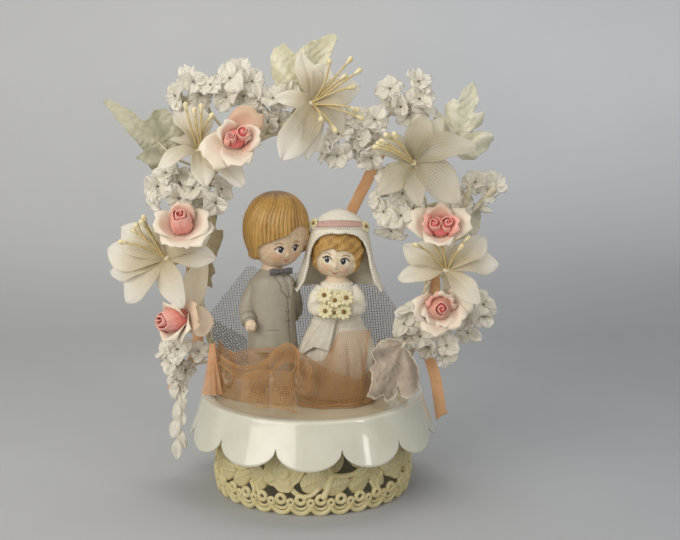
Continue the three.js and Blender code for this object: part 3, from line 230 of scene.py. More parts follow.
class Soup:
    def __init__(self):
        self.v, self.f, self.c, self.a, self.m, self.n = [], [], [], [], [], 0

    def raw(self, verts, faces, col=(1, 1, 1), att=(0, 0, 0), mat=0):
        verts = np.asarray(verts, float).reshape(-1, 3)
        count = len(verts)
        self.v.append(verts)
        self.f += [tuple(int(i) + self.n for i in f) for f in faces]
        self.m += [mat] * len(faces)
        self.c.append(np.broadcast_to(np.asarray(col, float).reshape(-1, 3), (count, 3)))
        self.a.append(np.broadcast_to(np.asarray(att, float).reshape(-1, 3), (count, 3)))
        self.n += count

    def grid(self, p, col=(1, 1, 1), att=None, mat=0, wrap=False, ends=False, tag=0.0):
        p = np.asarray(p, float)
        rows, cols = p.shape[:2]
        i = np.arange(rows * cols).reshape(rows, cols)
        j = np.concatenate([i, i[:, :1]], 1) if wrap else i
        q = np.stack([j[:-1, :-1], j[:-1, 1:], j[1:, 1:], j[1:, :-1]], -1).reshape(-1, 4)
        faces = [tuple(f) for f in q.tolist()]
        if ends and wrap:
            faces.append(tuple(i[0, ::-1].tolist()))
        if ends is True and wrap:
            faces.append(tuple(i[-1].tolist()))
        if att is None:
            v, u = np.meshgrid(np.linspace(0, 1, rows), np.linspace(0, 1, cols), indexing="ij")
            att = np.stack([u, v, np.full_like(u, tag)], -1)
        col = np.asarray(col, float)
        if col.ndim == 3:
            col = col.reshape(-1, 3)
        self.raw(p.reshape(-1, 3), faces, col, np.asarray(att).reshape(-1, 3), mat)

    def tube(self, path, radius, sides=8, col=(1, 1, 1), mat=0, flat=1.0, face=None):
        path = np.asarray(path, float)
        n = len(path)
        radius = np.broadcast_to(np.asarray(radius, float), (n,))
        way = np.gradient(path, axis=0)
        way /= np.linalg.norm(way, axis=1)[:, None] + 1e-12
        side = np.zeros((n, 3))
        ref = np.array(face if face is not None else (0.31, 0.2, 0.93), float)
        if face is None and abs(way[0] @ ref) > 0.9:
            ref = np.array((1.0, 0.2, 0.0))
        for k in range(n):
            s = ref - way[k] * (ref @ way[k])
            s /= np.linalg.norm(s) + 1e-12
            side[k] = s
            if face is None:
                ref = s
        other = np.cross(way, side)
        a = np.arange(sides) * TURN / sides
        ring = (np.cos(a)[None, :, None] * side[:, None] * flat + np.sin(a)[None, :, None] * other[:, None])
        self.grid(path[:, None] + ring * radius[:, None, None], col, mat=mat, wrap=True, ends=True)

    def ball(self, centre, radii, rows=8, cols=12, col=(1, 1, 1), mat=0, turn=None):
        f, t = np.meshgrid(np.linspace(0.02, math.pi - 0.02, rows), np.arange(cols) * TURN / cols, indexing="ij")
        p = np.stack([np.sin(f) * np.cos(t), np.sin(f) * np.sin(t), np.cos(f)], -1) * np.asarray(radii, float)
        if turn is not None:
            p = p @ turn.T
        self.grid(p + np.asarray(centre, float), col, mat=mat, wrap=True, ends=True)

    def put(self, other, turn=np.eye(3), at=(0, 0, 0), size=1.0):
        base = self.n
        for v, c, a in zip(other.v, other.c, other.a):
            self.v.append((v * size) @ np.asarray(turn).T + np.asarray(at, float))
            self.c.append(c)
            self.a.append(a)
        self.f += [tuple(i + base for i in f) for f in other.f]
        self.m += other.m
        self.n += other.n

    def build(self, name, mats, nodes=(), slot=None, solid=0.0, flat=False):
        me = bpy.data.meshes.new(name)
        me.from_pydata((np.concatenate(self.v) * MM).tolist(), [], self.f)
        me.update()
        col = me.color_attributes.new("Col", "FLOAT_COLOR", "POINT")
        rgba = np.ones((self.n, 4), np.float32)
        rgba[:, :3] = np.concatenate(self.c)
        col.data.foreach_set("color", rgba.ravel())
        uvw = me.attributes.new("uvw", "FLOAT_VECTOR", "POINT")
        uvw.data.foreach_set("vector", np.concatenate(self.a).astype(np.float32).ravel())
        for m in mats:
            me.materials.append(m)
        me.polygons.foreach_set("material_index", np.array(self.m, np.int32))
        me.polygons.foreach_set("use_smooth", np.full(len(self.m), not flat))
        ob = bpy.data.objects.new(name, me)
        scene.collection.objects.link(ob)
        if solid:
            mod = ob.modifiers.new("thickness", "SOLIDIFY")
            mod.thickness = solid * MM
            mod.offset = 0
        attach(ob, "root")
        if nodes:
            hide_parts(*nodes)
        return ob


def facing(direction, roll=0.0):
    q = Vector((0, 0, 1)).rotation_difference(Vector(direction)) @ Quaternion((0, 0, 1), roll)
    return np.array(q.to_matrix())


def curve(points, count=40):
    p = np.asarray(points, float)
    p = np.concatenate([[2 * p[0] - p[1]], p, [2 * p[-1] - p[-2]]])
    out = []
    spans = len(p) - 3
    for x in np.linspace(0, spans - 1e-9, count):
        k = int(x)
        t = x - k
        a, b, c, d = p[k:k + 4]
        out.append(0.5 * (2 * b + (c - a) * t + (2 * a - 5 * b + 4 * c - d) * t * t + (3 * b - a - 3 * c + d) * t ** 3))
    return np.array(out)


# Camera, light and stage

eye = bpy.data.cameras.new("camera")
eye.sensor_width = 36
eye.lens = 66.2
eye.clip_start = 0.01
camera = bpy.data.objects.new("camera", eye)
camera.location = (0.013, -0.5751, 0.2093)
camera.rotation_euler = (math.radians(79.58), 0, 0)
scene.collection.objects.link(camera)
scene.camera = camera


def lamp(name, place, target, size, power, tone=(1, 1, 1)):
    data = bpy.data.lights.new(name, "AREA")
    data.shape = "RECTANGLE"
    data.size, data.size_y = size
    data.energy = power
    data.color = tone
    ob = bpy.data.objects.new(name, data)
    ob.location = place
    way = Vector(target) - Vector(place)
    ob.rotation_euler = way.to_track_quat("-Z", "Y").to_euler()
    scene.collection.objects.link(ob)


lamp("key", (-0.66, -0.84, 0.6), (0, 0, 0.1), (1.0, 0.8), 9.6, (1, 0.95, 0.87))
lamp("strip", (0.8, -0.63, 0.62), (0, 0, 0.1), (0.1, 0.7), 1.9, (1, 0.98, 0.95))
lamp("top", (0.05, 0.25, 1.1), (0, 0, 0.1), (0.8, 0.6), 3.2, (1, 0.97, 0.92))
world = bpy.data.worlds.new("studio")
scene.world = world
world.use_nodes = True
world.node_tree.nodes["Background"].inputs[0].default_value = (1, 0.98, 0.95, 1)
world.node_tree.nodes["Background"].inputs[1].default_value = 0.45

STAGE = material("studio_paper", "#a4a6a7", "#a8aaab", 6, 0.75, [("noise", 900, 0.05, 0.2)], vertex=True, one_sided=True)
sweep = Soup()
line = [(-1.2, 0.0), (-0.4, 0.0), (0.3, 0.0)]
line += [(0.3 + 0.35 * math.sin(a), 0.35 - 0.35 * math.cos(a)) for a in np.linspace(0.05, math.pi / 2, 18)]
line += [(0.65, 1.6)]
xs = np.linspace(-2.2, 2.2, 45)
sweep.grid([[(x * 1000, y * 1000, z * 1000 - 0.02) for x in xs] for y, z in line])
me = bpy.data.meshes.new("backdrop")
me.from_pydata((np.concatenate(sweep.v) * MM).tolist(), [], sweep.f)
me.materials.append(STAGE)
shade = me.color_attributes.new("Col", "FLOAT_COLOR", "POINT")
# The paper's vertex colours paint light and shade: brighter on the floor in front and up the wall, darker low down to
# the right, with a cooler tint there
for i, v in enumerate(me.vertices):
    up = float(smooth(0.0, 0.26, v.co.z))
    right = float(smooth(-0.1, 0.3, v.co.x))
    k = 1.0 + 0.26 * float(smooth(-0.02, -0.25, v.co.y)) + 0.1 * float(smooth(0.0, 0.05, v.co.z)) + (0.28 + 0.04 * right) * up ** 0.6 - 0.24 * (1 - up) ** 4 * right - 0.03 * (1 - right)
    shade.data[i].color = (k * (1 - 0.02 * right), k, k * (1.01 + 0.06 * right), 1)
me.polygons.foreach_set("use_smooth", np.ones(len(sweep.f), bool))
backdrop = bpy.data.objects.new("backdrop", me)
scene.collection.objects.link(backdrop)


# Ring base: roses, leaves and stems in open relief between two bands, over an edging of loops

BASE_R = ((0, 44.8), (5, 45.6), (9, 45.9), (20, 44.9), (32, 43.0), (43, 41.0))
PITCH = TURN / 32


def on_base(angle, z, out=0.0):
    r = np.interp(z, [p[0] for p in BASE_R], [p[1] for p in BASE_R]) + out
    return np.stack([r * np.sin(angle), -r * np.cos(angle), z + 0 * r], -1)


def relief_disc(soup, s0, z0, height, outline, rings=16, spokes=56, back=-1.6):
    """A raised pad on the wall: height(r, a) over an outline radius(a), with a rim that closes behind."""
    a = np.arange(spokes) * TURN / spokes
    edge = outline(a)
    rows = []
    for t in [0.0] + list(np.linspace(0.06, 1, rings)):
        rows.append((t * edge, height(t, a)))
    rows.append((edge * 1.0, np.full(spokes, back * 0.5)))
    rows.append((edge * 0.96, np.full(spokes, back)))
    rows.append((edge * 0.5, np.full(spokes, back)))
    rows.append((edge * 0.0 + 0.01, np.full(spokes, back)))
    p = [on_base((s0 + r * np.cos(a)) / 48.5, z0 + r * np.sin(a), h) for r, h in rows]
    soup.grid(np.array(p), wrap=True)


def rose_relief(soup, s0, z0, size, spin):
    def outline(a):
        return size * (1 + 0.07 * np.cos(5 * a + spin) + 0.03 * np.cos(11 * a))

    def height(t, a):
        dome = 2.4 * math.sqrt(max(0.0, 1 - 0.72 * t * t)) - 0.6
        swirl = np.mod(a * 3 / TURN + 2.1 * t + spin, 1.0)
        outer = np.mod(a * 5 / TURN + spin + 0.5 * t, 1.0)
        fold = 1.1 * (swirl - 0.5) * (1 - smooth(0.4, 0.6, t)) + 1.0 * (outer - 0.5) * smooth(0.42, 0.6, t)
        ring = -0.7 * math.exp(-((t - 0.5) / 0.06) ** 2) - 0.4 * math.exp(-((t - 0.24) / 0.05) ** 2)
        return dome + fold * (0.25 + 0.75 * min(1, 3 * t)) + ring + 0.5 * smooth(0.85, 1, t)
    relief_disc(soup, s0, z0, height, outline, 22, 84)


def leaf_relief(soup, s0, z0, turn, length, width):
    n, k = 26, 15
    rows = []
    for v in np.linspace(0, 1, n):
        half = 0.5 * width * (math.sin(math.pi * (0.04 + 0.94 * v) ** 0.75) ** 0.8)
        half *= 1 + 0.1 * (v * 8 % 1 - 0.5)
        row = []
        for w in np.linspace(-1, 1, k):
            lx, lz = (v - 0.5) * length, w * half
            h = 0.9 - 0.7 * w * w + 0.45 * math.cos(TURN * (v * 8 - 1.6 * abs(w))) * (1 - abs(w) ** 4)
            h += 0.6 * math.exp(-(w / 0.1) ** 2)
            s = s0 + lx * math.cos(turn) - lz * math.sin(turn)
            z = z0 + lx * math.sin(turn) + lz * math.cos(turn)
            row.append((s, z, h))
        back = [(s, z, -1.3) for s, z, h in row[::-1]]
        rows.append(row + back)
    g = np.array(rows)
    soup.grid(on_base(g[..., 0] / 48.5, g[..., 1], g[..., 2]), wrap=True, ends=True)


def stem_relief(soup, points, r0, r1, out=0.2):
    c = curve([(s, z, out) for s, z in points], 26)
    soup.tube(on_base(c[:, 0] / 48.5, c[:, 1], c[:, 2]), np.linspace(r0, r1, len(c)), 9)


base = Soup()
REPEAT = TURN * 48.5 / 5
for k in range(5):
    s = (k + 0.02) * REPEAT - 15.0
    rose_relief(base, s, 21.5, 10.2, 0.4 + 0.17 * k)
    leaf_relief(base, s + 17.0, 17.0, 0.42, 17, 10.5)
    leaf_relief(base, s + 26.5, 14.2, 0.2, 14, 9)
    leaf_relief(base, s + 26.5, 27.5, 1.35, 15, 8.5)
    leaf_relief(base, s + 36.5, 28.5, 1.75, 15, 9)
    leaf_relief(base, s + 38.5, 14.5, 0.5, 13, 8.5)
    leaf_relief(base, s + 47.0, 16.0, 2.3, 13, 8)
    leaf_relief(base, s + 11.5, 33.0, 0.9, 13, 8)
    leaf_relief(base, s - 9.0, 33.5, 2.2, 12, 8)
    leaf_relief(base, s + 46.5, 33.0, 0.5, 14, 8)
    stem_relief(base, [(s + 19.5, 8.5), (s + 22.0, 14), (s + 23.5, 20), (s + 20, 25), (s + 15, 29), (s + 9, 30)], 1.5, 0.9, 0.6)
    stem_relief(base, [(s + 23, 19), (s + 28, 18.2), (s + 34, 18.5), (s + 39, 21), (s + 43, 26), (s + 42, 31)], 1.3, 0.8, 0.9)
    stem_relief(base, [(s + 34, 18.5), (s + 38, 18), (s + 44, 21), (s + 49, 20.5), (s + 52, 17)], 1.1, 0.8, 0.7)
    stem_relief(base, [(s + 20, 25), (s + 22, 32), (s + 24, 39)], 1.0, 0.8)
    stem_relief(base, [(s + 42, 31), (s + 45, 35), (s + 51, 37)], 1.0, 0.8)
    stem_relief(base, [(s - 2, 31), (s - 4, 35), (s - 3, 40)], 1.1, 0.9)
    stem_relief(base, [(s - 9, 17), (s - 13, 13), (s - 12, 8)], 1.2, 0.9)
    stem_relief(base, [(s + 5, 12), (s + 9, 9.5), (s + 14, 10), (s + 18, 13)], 1.2, 0.8)
    stem_relief(base, [(s + 33, 31), (s + 33, 36), (s + 35, 40)], 1.0, 0.9)
    stem_relief(base, [(s + 44, 14), (s + 46, 10), (s + 45, 7)], 1.1, 0.9)
for z, r in ((40.2, 1.3), (42.2, 0.8)):
    a = np.linspace(0, TURN, 193)
    base.tube(on_base(a, np.full(193, z), -0.2), r, 10)
for z0, z1, r0, r1 in ((41.0, 43.0, 34.2, 41.4),):
    a = np.arange(128) * TURN / 128
    ring = [(r0, z0), (r1, z0), (r1 + 0.3, (z0 + z1) / 2), (r1, z1), (r0, z1), (r0, z0)]
    base.grid(np.array([np.stack([r * np.sin(a), -r * np.cos(a), np.full(128, z)], -1) for r, z in ring]), wrap=True)
for i in range(32):
    mid = (i + 0.5) * PITCH * 48.5
    t = np.linspace(0, TURN, 25)
    base.tube(on_base((mid + 1.95 * np.cos(t)) / 48.5, 8.0 + 1.85 * np.sin(t), 0.7), 0.95, 8)
    base.tube(on_base((mid + 4.76 + 1.35 * np.cos(t)) / 48.5, 6.5 + 1.35 * np.sin(t), 0.7), 0.8, 8)
    t = np.linspace(math.pi, TURN, 23)
    base.tube(on_base((mid + 4.55 * np.cos(t)) / 48.5, 5.2 + 4.1 * np.sin(t), 0.3), 1.05, 9)
    t = np.linspace(math.pi * 1.06, math.pi * 1.94, 17)
    base.tube(on_base((mid + 3.3 * np.cos(t)) / 48.5, 6.1 + 2.9 * np.sin(t), 0.0), 0.7, 7)
base.build("base_filigree_relief", [IVORY_PLASTIC], ["base_filigree"], "ivory_plastic")

# Plate: flat floor, a step near the rim, and a flared skirt that ends in twelve round lobes

plate = Soup()
COLS = 12 * 40
lobe_turn = -0.01
a = np.arange(COLS) * TURN / COLS
across = 2 * ((a / TURN) * 12 - np.round((a / TURN) * 12))
drop = 11.4 + (20.5 - 11.4) * np.sqrt(np.maximum(0, 1 - across * across))
top = FLOOR + 0.9


def plate_row(r, z):
    ang = a + lobe_turn
    return np.stack([r * np.sin(ang), -r * np.cos(ang), z + 0 * a], -1)


one = np.ones(COLS)
rows = [plate_row(0.01 * one, FLOOR)]
rows += [plate_row(r * one, FLOOR) for r in (15, 30, 42, 46.4)]
rows += [plate_row(r * one, z) for r, z in ((46.8, FLOOR + 0.05), (47.1, FLOOR + 0.4), (47.4, top - 0.12), (47.9, top),
                                            (49.5, top), (51.2, top), (52.0, top - 0.15), (52.5, top - 0.6))]
for t in np.linspace(0.05, 1, 20):
    d = drop * t
    rows.append(plate_row(52.5 + 6.5 * (d / 20.5) ** 1.15, top - 0.3 - d * 0.985))
rows.append(plate_row(52.5 + 6.5 * (drop / 20.5) ** 1.15 - 0.5, top - drop - 0.25))
for t in np.linspace(1, 0.05, 12):
    d = drop * t
    rows.append(plate_row(51.3 + 6.5 * (d / 20.5) ** 1.15, top - 0.3 - d * 0.97))
rows += [plate_row(r * one, 43.3) for r in (50.6, 30, 0.01)]
rows = np.array(rows)
# Painted reflection and shade: the plate's floor inside the rim is tinted warm, standing in for the peach tulle
# reflected in it and the shade over it
painted_reflection_and_shade = (np.hypot(rows[..., 0], rows[..., 1]) < 47.2) & (rows[..., 2] > 44.5)
plate.grid(rows, np.where(painted_reflection_and_shade[..., None], lin("#fdf3e2"), (1.0, 1.0, 1.0)), wrap=True)
plate.build("scalloped_plate_smooth", [WHITE_PLASTIC], ["scalloped_plate"], "white_plastic")

# Arch: three taped wires twisted together, with a lump of glue on each foot

ARCH = [(-41.74, 8, 0.3), (-41.74, 8, 4.5), (-51.0, 8, 29.7)]
ARCH += [(56 * math.cos(q), 8, 66 + 65 * math.sin(q)) for q in np.linspace(math.pi, 0, 13)]
ARCH += [(51.0, 8, 29.7), (41.74, 8, 4.5), (41.74, 8, 0.3)]
spine = curve([(x, y, z + FLOOR) for x, y, z in ARCH], 420)
way = np.gradient(spine, axis=0)
way /= np.linalg.norm(way, axis=1)[:, None]
out_y = np.array((0, 1.0, 0))
in_plane = np.cross(way, out_y)
run = np.concatenate([[0], np.cumsum(np.linalg.norm(np.diff(spine, axis=0), axis=1))])
arch = Soup()
for k in range(3):
    ph = TURN * (run / 13.0 + k / 3)
    arch.tube(spine + 0.85 * (np.cos(ph)[:, None] * out_y + np.sin(ph)[:, None] * in_plane), 0.95, 8)
arch.build("arch_wire_twisted", [TAPE], ["arch_wire"], "floral_tape")
for name, side in (("arch_glue_left", -1), ("arch_glue_right", 1)):
    lo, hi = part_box(name)
    g = Soup()
    c = [(lo[i] + hi[i]) / 2 / MM for i in range(3)]
    half = [(hi[i] - lo[i]) / 2 / MM for i in range(3)]
    f, t = np.meshgrid(np.linspace(0.02, math.pi - 0.02, 18), np.arange(36) * TURN / 36, indexing="ij")
    lump = 1 + 0.06 * np.sin(3 * t + side) * np.sin(f) + 0.04 * np.sin(5 * t + 2)
    q = np.stack([np.sin(f) * np.cos(t) * lump, np.sin(f) * np.sin(t) * lump, np.cos(f)], -1) * np.array(half)
    q[..., 2] = np.maximum(q[..., 2], -half[2] * 0.98)
    g.grid(q + np.array(c), wrap=True, ends=True)
    g.build(name + "_lump", [GLUE], [name], "clear_glue")


# The couple: bisque figures, painted by vertex colour on dense meshes

SKIN, BLUSH, LIP = lin("#dcc6ab"), lin("#e0a283"), lin("#b9605a")
GOLD, GOLD_DARK, GOLD_LIGHT = lin("#a57d3a"), lin("#6b4a1e"), lin("#c29c58")
GREY, GREY_DARK, TIE = lin("#a29c8e"), lin("#8a8478"), lin("#605e60")
WHITE, CREAM, MAUVE = lin("#e6e1d3"), lin("#e2d9ae"), lin("#c2a096")


def paint(col, mask, tone):
    return col + mask[..., None] * (np.array(tone) - col)


def spot(x, z, cx, cz, rx, rz, soft=0.25):
    d = np.sqrt(((x - cx) / rx) ** 2 + ((z - cz) / rz) ** 2)
    return 1 - smooth(1 - soft, 1 + soft, d)


def stroke(x, z, points, width):
    """A painted line: 1 on the polyline through points, fading at half the width."""
    best = np.full(x.shape, 1e9)
    c = curve([(a, b, 0) for a, b in points], 24)
    for (x0, z0, _), (x1, z1, _) in zip(c[:-1], c[1:]):
        dx, dz = x1 - x0, z1 - z0
        t = np.clip(((x - x0) * dx + (z - z0) * dz) / (dx * dx + dz * dz + 1e-9), 0, 1)
        best = np.minimum(best, np.hypot(x - x0 - t * dx, z - z0 - t * dz))
    return 1 - smooth(width * 0.35, width * 0.65, best)


def head_mesh(name, nodes, at, low, high, skin_r, hair_r, turn, lean, hairline, locks, eyes_z, gap, look, brow, mouth_z, skin, shine):
    """Skull, face and hair in one skin. x is measured along the face from its middle, z from the chin up."""
    front = np.linspace(-1.2, 1.2, 240)
    rest = np.linspace(1.2, TURN - 1.2, 122)[1:-1]
    psi = np.concatenate([front, rest])
    psi = np.where(psi > math.pi, psi - TURN, psi)
    f = np.concatenate([np.linspace(0.03, 1.25, 60), np.linspace(1.25, 2.7, 130)[1:], np.linspace(2.7, 3.11, 14)[1:]])
    mid, half = (low + high) / 2, (high - low) / 2
    phi, ps = np.meshgrid(f, psi, indexing="ij")
    t = np.cos(phi)
    z = t * half + mid
    power = np.where(t > 0, 2.15, 2.25)
    shape = (1 - np.abs(t) ** power) ** (1 / power)
    edge = hairline(ps)
    wave, groove = locks(ps, z)
    mask = smooth(-0.35, 0.45, z - low - edge + 0.5 * wave)
    x = ps * skin_r
    zz = z - low
    nose = 1.35 * np.exp(-(x / 1.0) ** 2 - ((zz - eyes_z + 2.9) / 1.25) ** 2)
    nose += 0.4 * np.exp(-(x / 0.8) ** 2 - ((zz - eyes_z + 0.8) / 1.8) ** 2)
    cheeks = 0.55 * np.exp(-((np.abs(x) - 5.2) / 2.6) ** 2 - ((zz - mouth_z - 1.3) / 2.4) ** 2)
    chin = 0.9 * np.exp(-(x / 2.6) ** 2 - ((zz - mouth_z + 3.0) / 1.5) ** 2)
    lips = 0.3 * np.exp(-(x / 1.5) ** 2 - ((zz - mouth_z - 0.55) / 0.45) ** 2)
    lips += 0.35 * np.exp(-(x / 1.3) ** 2 - ((zz - mouth_z + 0.7) / 0.5) ** 2)
    socket = -0.35 * np.exp(-((np.abs(x) - gap) / 1.7) ** 2 - ((zz - eyes_z) / 1.4) ** 2)
    face_r = (skin_r + nose + cheeks + chin + lips + socket) * shape
    hair_r = (hair_r + 0.55 * wave + groove) * shape ** 0.94
    flip = 1.1 * np.exp(-((z - low - edge - 1.2) / 1.3) ** 2) * smooth(-1.05, -1.25, ps)
    r = face_r + mask * (hair_r + flip - face_r)
    col = np.broadcast_to(np.array(skin), z.shape + (3,)).copy()
    col = paint(col, 0.5 * spot(np.abs(x), zz, 5.6, mouth_z + 1.6, 3.0, 2.2, 0.7), BLUSH)
    for side in (-1, 1):
        cx = side * gap
        col = paint(col, spot(x, zz, cx, eyes_z, 1.95, 1.6, 0.18), lin("#f3ede6"))
        col = paint(col, spot(x, zz, cx + look, eyes_z + 0.0, 1.3, 1.5, 0.18), lin("#222e42"))
        col = paint(col, spot(x, zz, cx + look, eyes_z + 0.05, 0.8, 1.0, 0.2), lin("#121318"))
        col = paint(col, spot(x, zz, cx + look - 0.35, eyes_z + 0.55, 0.3, 0.34, 0.3), (0.95, 0.95, 0.95))
        lash = [(cx - side * 1.9, eyes_z + 0.4), (cx - side * 0.9, eyes_z + 1.5), (cx + side * 0.5, eyes_z + 1.65),
                (cx + side * 1.9, eyes_z + 0.9), (cx + side * 2.6, eyes_z + 0.5)]
        col = paint(col, stroke(x, zz, lash, 0.62), lin("#3b2a20"))
        arc = [(cx - side * 1.5, eyes_z + brow), (cx + side * 0.3, eyes_z + brow + 0.75), (cx + side * 2.3, eyes_z + brow)]
        col = paint(col, 0.85 * stroke(x, zz, arc, 0.5), lin("#93632e"))
    smile = [(-1.9, mouth_z + 0.55), (-0.9, mouth_z), (0, mouth_z - 0.1), (0.9, mouth_z), (1.9, mouth_z + 0.55)]
    col = paint(col, 0.6 * spot(x, zz, 0, mouth_z - 0.45, 1.3, 0.7, 0.4), lin("#d98a7c"))
    col = paint(col, stroke(x, zz, smile, 0.5), LIP)
    # The gold is painted lighter on the raised locks and darker in the grooves: painted highlight and shade, weighed by
    # shine
    tone = np.clip(shine[0] + shine[1] * wave + shine[2] * groove, 0, 1)
    hair_col = np.array(GOLD_DARK) + tone[..., None] * (np.array(GOLD_LIGHT) - np.array(GOLD_DARK))
    hair_col = 0.7 * hair_col + 0.3 * np.array(GOLD)
    col = col + mask[..., None] * (hair_col - col)
    p = np.stack([r * np.sin(ps), -r * np.cos(ps) * 0.97, z - mid], -1)
    c, s = math.cos(lean), math.sin(lean)
    p = p @ np.array([[c, 0, s], [0, 1, 0], [-s, 0, c]]).T
    c, s = math.cos(turn), math.sin(turn)
    p = p @ np.array([[c, -s, 0], [s, c, 0], [0, 0, 1]]).T
    soup = Soup()
    soup.grid(p + np.array((at[0], at[1], mid)), col, wrap=True, ends=True)
    return soup.build(name, [HAIR], nodes, "golden_hair")


def line_of(pairs):
    xs = np.radians([p[0] for p in pairs])
    ys = np.array([p[1] for p in pairs], float)

    def f(ps):
        return np.interp(ps, xs, ys)
    return f


def groom_locks(ps, z):
    sweep = ps + 0.35 * np.sin((140 - z) / 14)
    groove = 0.36 * np.abs(np.sin(sweep * 24 + 0.8 * np.sin(z * 0.3))) ** 0.8 + 0.16 * np.abs(np.sin(sweep * 43 + 1.1))
    wave = 0.35 * np.sin(sweep * 7 + 0.4) + 0.3 * np.sin(sweep * 13 - z * 0.12)
    return wave, groove * smooth(141, 138, z)


def bride_locks(ps, z):
    wave = 0.8 * np.sin(ps * 7.5 + 1.2 * np.sin(z * 0.75)) + 0.5 * np.sin(ps * 12 - z * 1.15)
    groove = 0.3 * np.abs(np.sin(ps * 28 + 2.4 * np.sin(z * 0.7)))
    return wave, groove


GROOM_HAIRLINE = line_of([(-180, 4.6), (-95, 4.6), (-74, 5.0), (-66, 6.5), (-61, 11.5), (-45, 13.2), (-25, 15.0), (0, 17.2),
                          (18, 19.4), (32, 20.4), (42, 19.0), (52, 14.5), (60, 9.0), (72, 6.0), (90, 5.0), (180, 4.6)])
BRIDE_HAIRLINE = line_of([(-180, -2), (-84, -2), (-72, 2.5), (-62, 5.0), (-50, 9.5), (-36, 13.2), (-16, 15.0), (-2, 13.4), (14, 15.2),
                          (34, 13.6), (50, 9.8), (62, 5.0), (72, 2.5), (84, -2), (180, -2)])
head_mesh("groom_head_painted", ["groom_head", "groom_hair"], (-16.4, -0.5), 105.2, 140.8, 13.6, 15.1, 0.45, -0.05,
          GROOM_HAIRLINE, groom_locks, 10.0, 4.1, 0.35, 2.6, 4.5, SKIN, (0.1, 0.5, 2.2))
head_mesh("bride_head_painted", ["bride_head", "bride_hair"], (12.0, -0.8), 100.4, 127.0, 10.9, 11.9, -0.04, 0.12,
          BRIDE_HAIRLINE, bride_locks, 9.3, 4.1, -0.4, 2.5, 3.1, lin("#e8dbc4"), (0.72, 0.3, 1.4))

# Groom's coat, with its opening, lapels, sleeves, trousers and shoes

def loft(levels, centre, cols=180, rows=110, square=2.0):
    zs = np.array([l[0] for l in levels], float)
    z = np.linspace(zs[0], zs[-1], rows)
    rx = np.interp(z, zs, [l[1] for l in levels])
    ry = np.interp(z, zs, [l[2] for l in levels])
    k = np.ones(7) / 7
    rx = np.convolve(np.pad(rx, 3, "edge"), k, "valid")
    ry = np.convolve(np.pad(ry, 3, "edge"), k, "valid")
    a = np.linspace(-math.pi, math.pi, cols, endpoint=False)
    zz, aa = np.meshgrid(z, a, indexing="ij")
    return zz, aa, rx[:, None], ry[:, None]


coat = Soup()
zz, aa, rx, ry = loft([(66.2, 11.6, 10.6), (68, 11.5, 10.5), (74, 11.1, 10.2), (82, 10.8, 9.9), (90, 10.6, 9.5), (95, 10.4, 9.2),
                       (98.5, 9.9, 8.7), (101, 8.6, 7.6), (103, 6.2, 6.0), (105, 4.6, 4.8), (108, 4.2, 4.4)], None, 260, 170)
BODY_TURN = 0.8
rel = np.angle(np.exp(1j * (aa - BODY_TURN)))
xf = rel * 10.5
edge_in = np.interp(zz, [91, 103], [0.2, 1.7])
edge_out = np.interp(zz, [91, 96.0, 96.7, 102], [0.2, 4.4, 3.6, 6.6])
lapel = smooth(0, 0.5, np.abs(xf) - edge_in) * smooth(0, 0.5, edge_out - np.abs(xf)) * smooth(90.5, 92, zz) * smooth(104, 102.5, zz)
shirt = smooth(0.3, 0, np.abs(xf) - edge_in) * smooth(91, 92, zz)
opening = np.exp(-((xf - 0.5 * np.interp(zz, [66, 88], [1.6, 0])) / 0.35) ** 2) * smooth(92.5, 90.5, zz)
flap = smooth(0.0, 0.8, xf) * smooth(3.4, 2.4, xf) * smooth(92.5, 90.5, zz)
pocket = np.exp(-((zz - 76.5) / 0.35) ** 2) * smooth(4.5, 5, np.abs(xf)) * smooth(10.5, 10, np.abs(xf))
folds = 0.25 * np.sin(aa * 9 + zz * 0.11) * smooth(84, 68, zz)
bump = 1.0 * lapel - 0.55 * opening + 0.25 * flap - 0.35 * shirt - 0.3 * pocket + folds
cc = np.sign(np.cos(aa)) * np.abs(np.cos(aa)) ** 0.92
ss = np.sign(np.sin(aa)) * np.abs(np.sin(aa)) ** 0.92
p = np.stack([-18.8 + (rx + bump) * ss, -(ry + bump) * cc, zz], -1)
col = np.broadcast_to(np.array(GREY), zz.shape + (3,)).copy()
seam = np.exp(-((np.abs(xf) - edge_out) / 0.32) ** 2) * smooth(91, 92, zz) * smooth(103, 102, zz)
col = paint(col, 0.75 * opening + 0.5 * pocket, GREY_DARK)
col = paint(col, 0.85 * seam, lin("#736d63"))
col = paint(col, shirt, lin("#b7b1a5"))
col = paint(col, smooth(104.2, 104.9, zz), SKIN)
coat.grid(p, col, wrap=True, ends=True)
for z in (86.0, 81.5):
    coat.ball((-18.8 + 10.9 * math.sin(0.74), -10.2 * math.cos(0.74) - 0.35, z), (0.75, 0.5, 0.75), col=GREY_DARK)


def arm(soup, points, radii, tone, cuff, hand):
    c = curve(points, 34)
    r = np.interp(np.linspace(0, 1, 34), np.linspace(0, 1, len(radii)), radii)
    r = r * (1 + 0.03 * np.sin(np.arange(34) * 1.3))
    soup.tube(c, r, 26, tone)
    way = c[-1] - c[-4]
    way /= np.linalg.norm(way)
    if cuff:
        soup.tube(np.array([c[-1] - way * 3.4, c[-1] - way * 3.2, c[-1] - way * 0.1, c[-1] + way * 0.3]),
                  np.array([r[-1], r[-1] + 0.55, r[-1] + 0.55, r[-1] - 0.2]), 26, tone)
        soup.tube(np.array([c[-1], c[-1] + way * 0.9]), r[-1] - 0.55, 22, cuff)
    if hand:
        h = c[-1] + way * hand * 1.15
        soup.ball(h, (hand, hand * 0.95, hand * 1.15), 12, 18, SKIN)
        for k in range(4):
            soup.ball(h + np.array((-1.3 + 0.9 * k, -hand * 0.72, -0.7)), (0.62, 0.75, 1.35), 7, 9, SKIN)
        soup.ball(h + np.array((hand * 0.62, -hand * 0.55, 0.5)), (0.75, 0.8, 1.4), 7, 9, SKIN)


def about(x, y, *points):
    return [(x + a, y + b, FLOOR + c) for a, b, c in points]


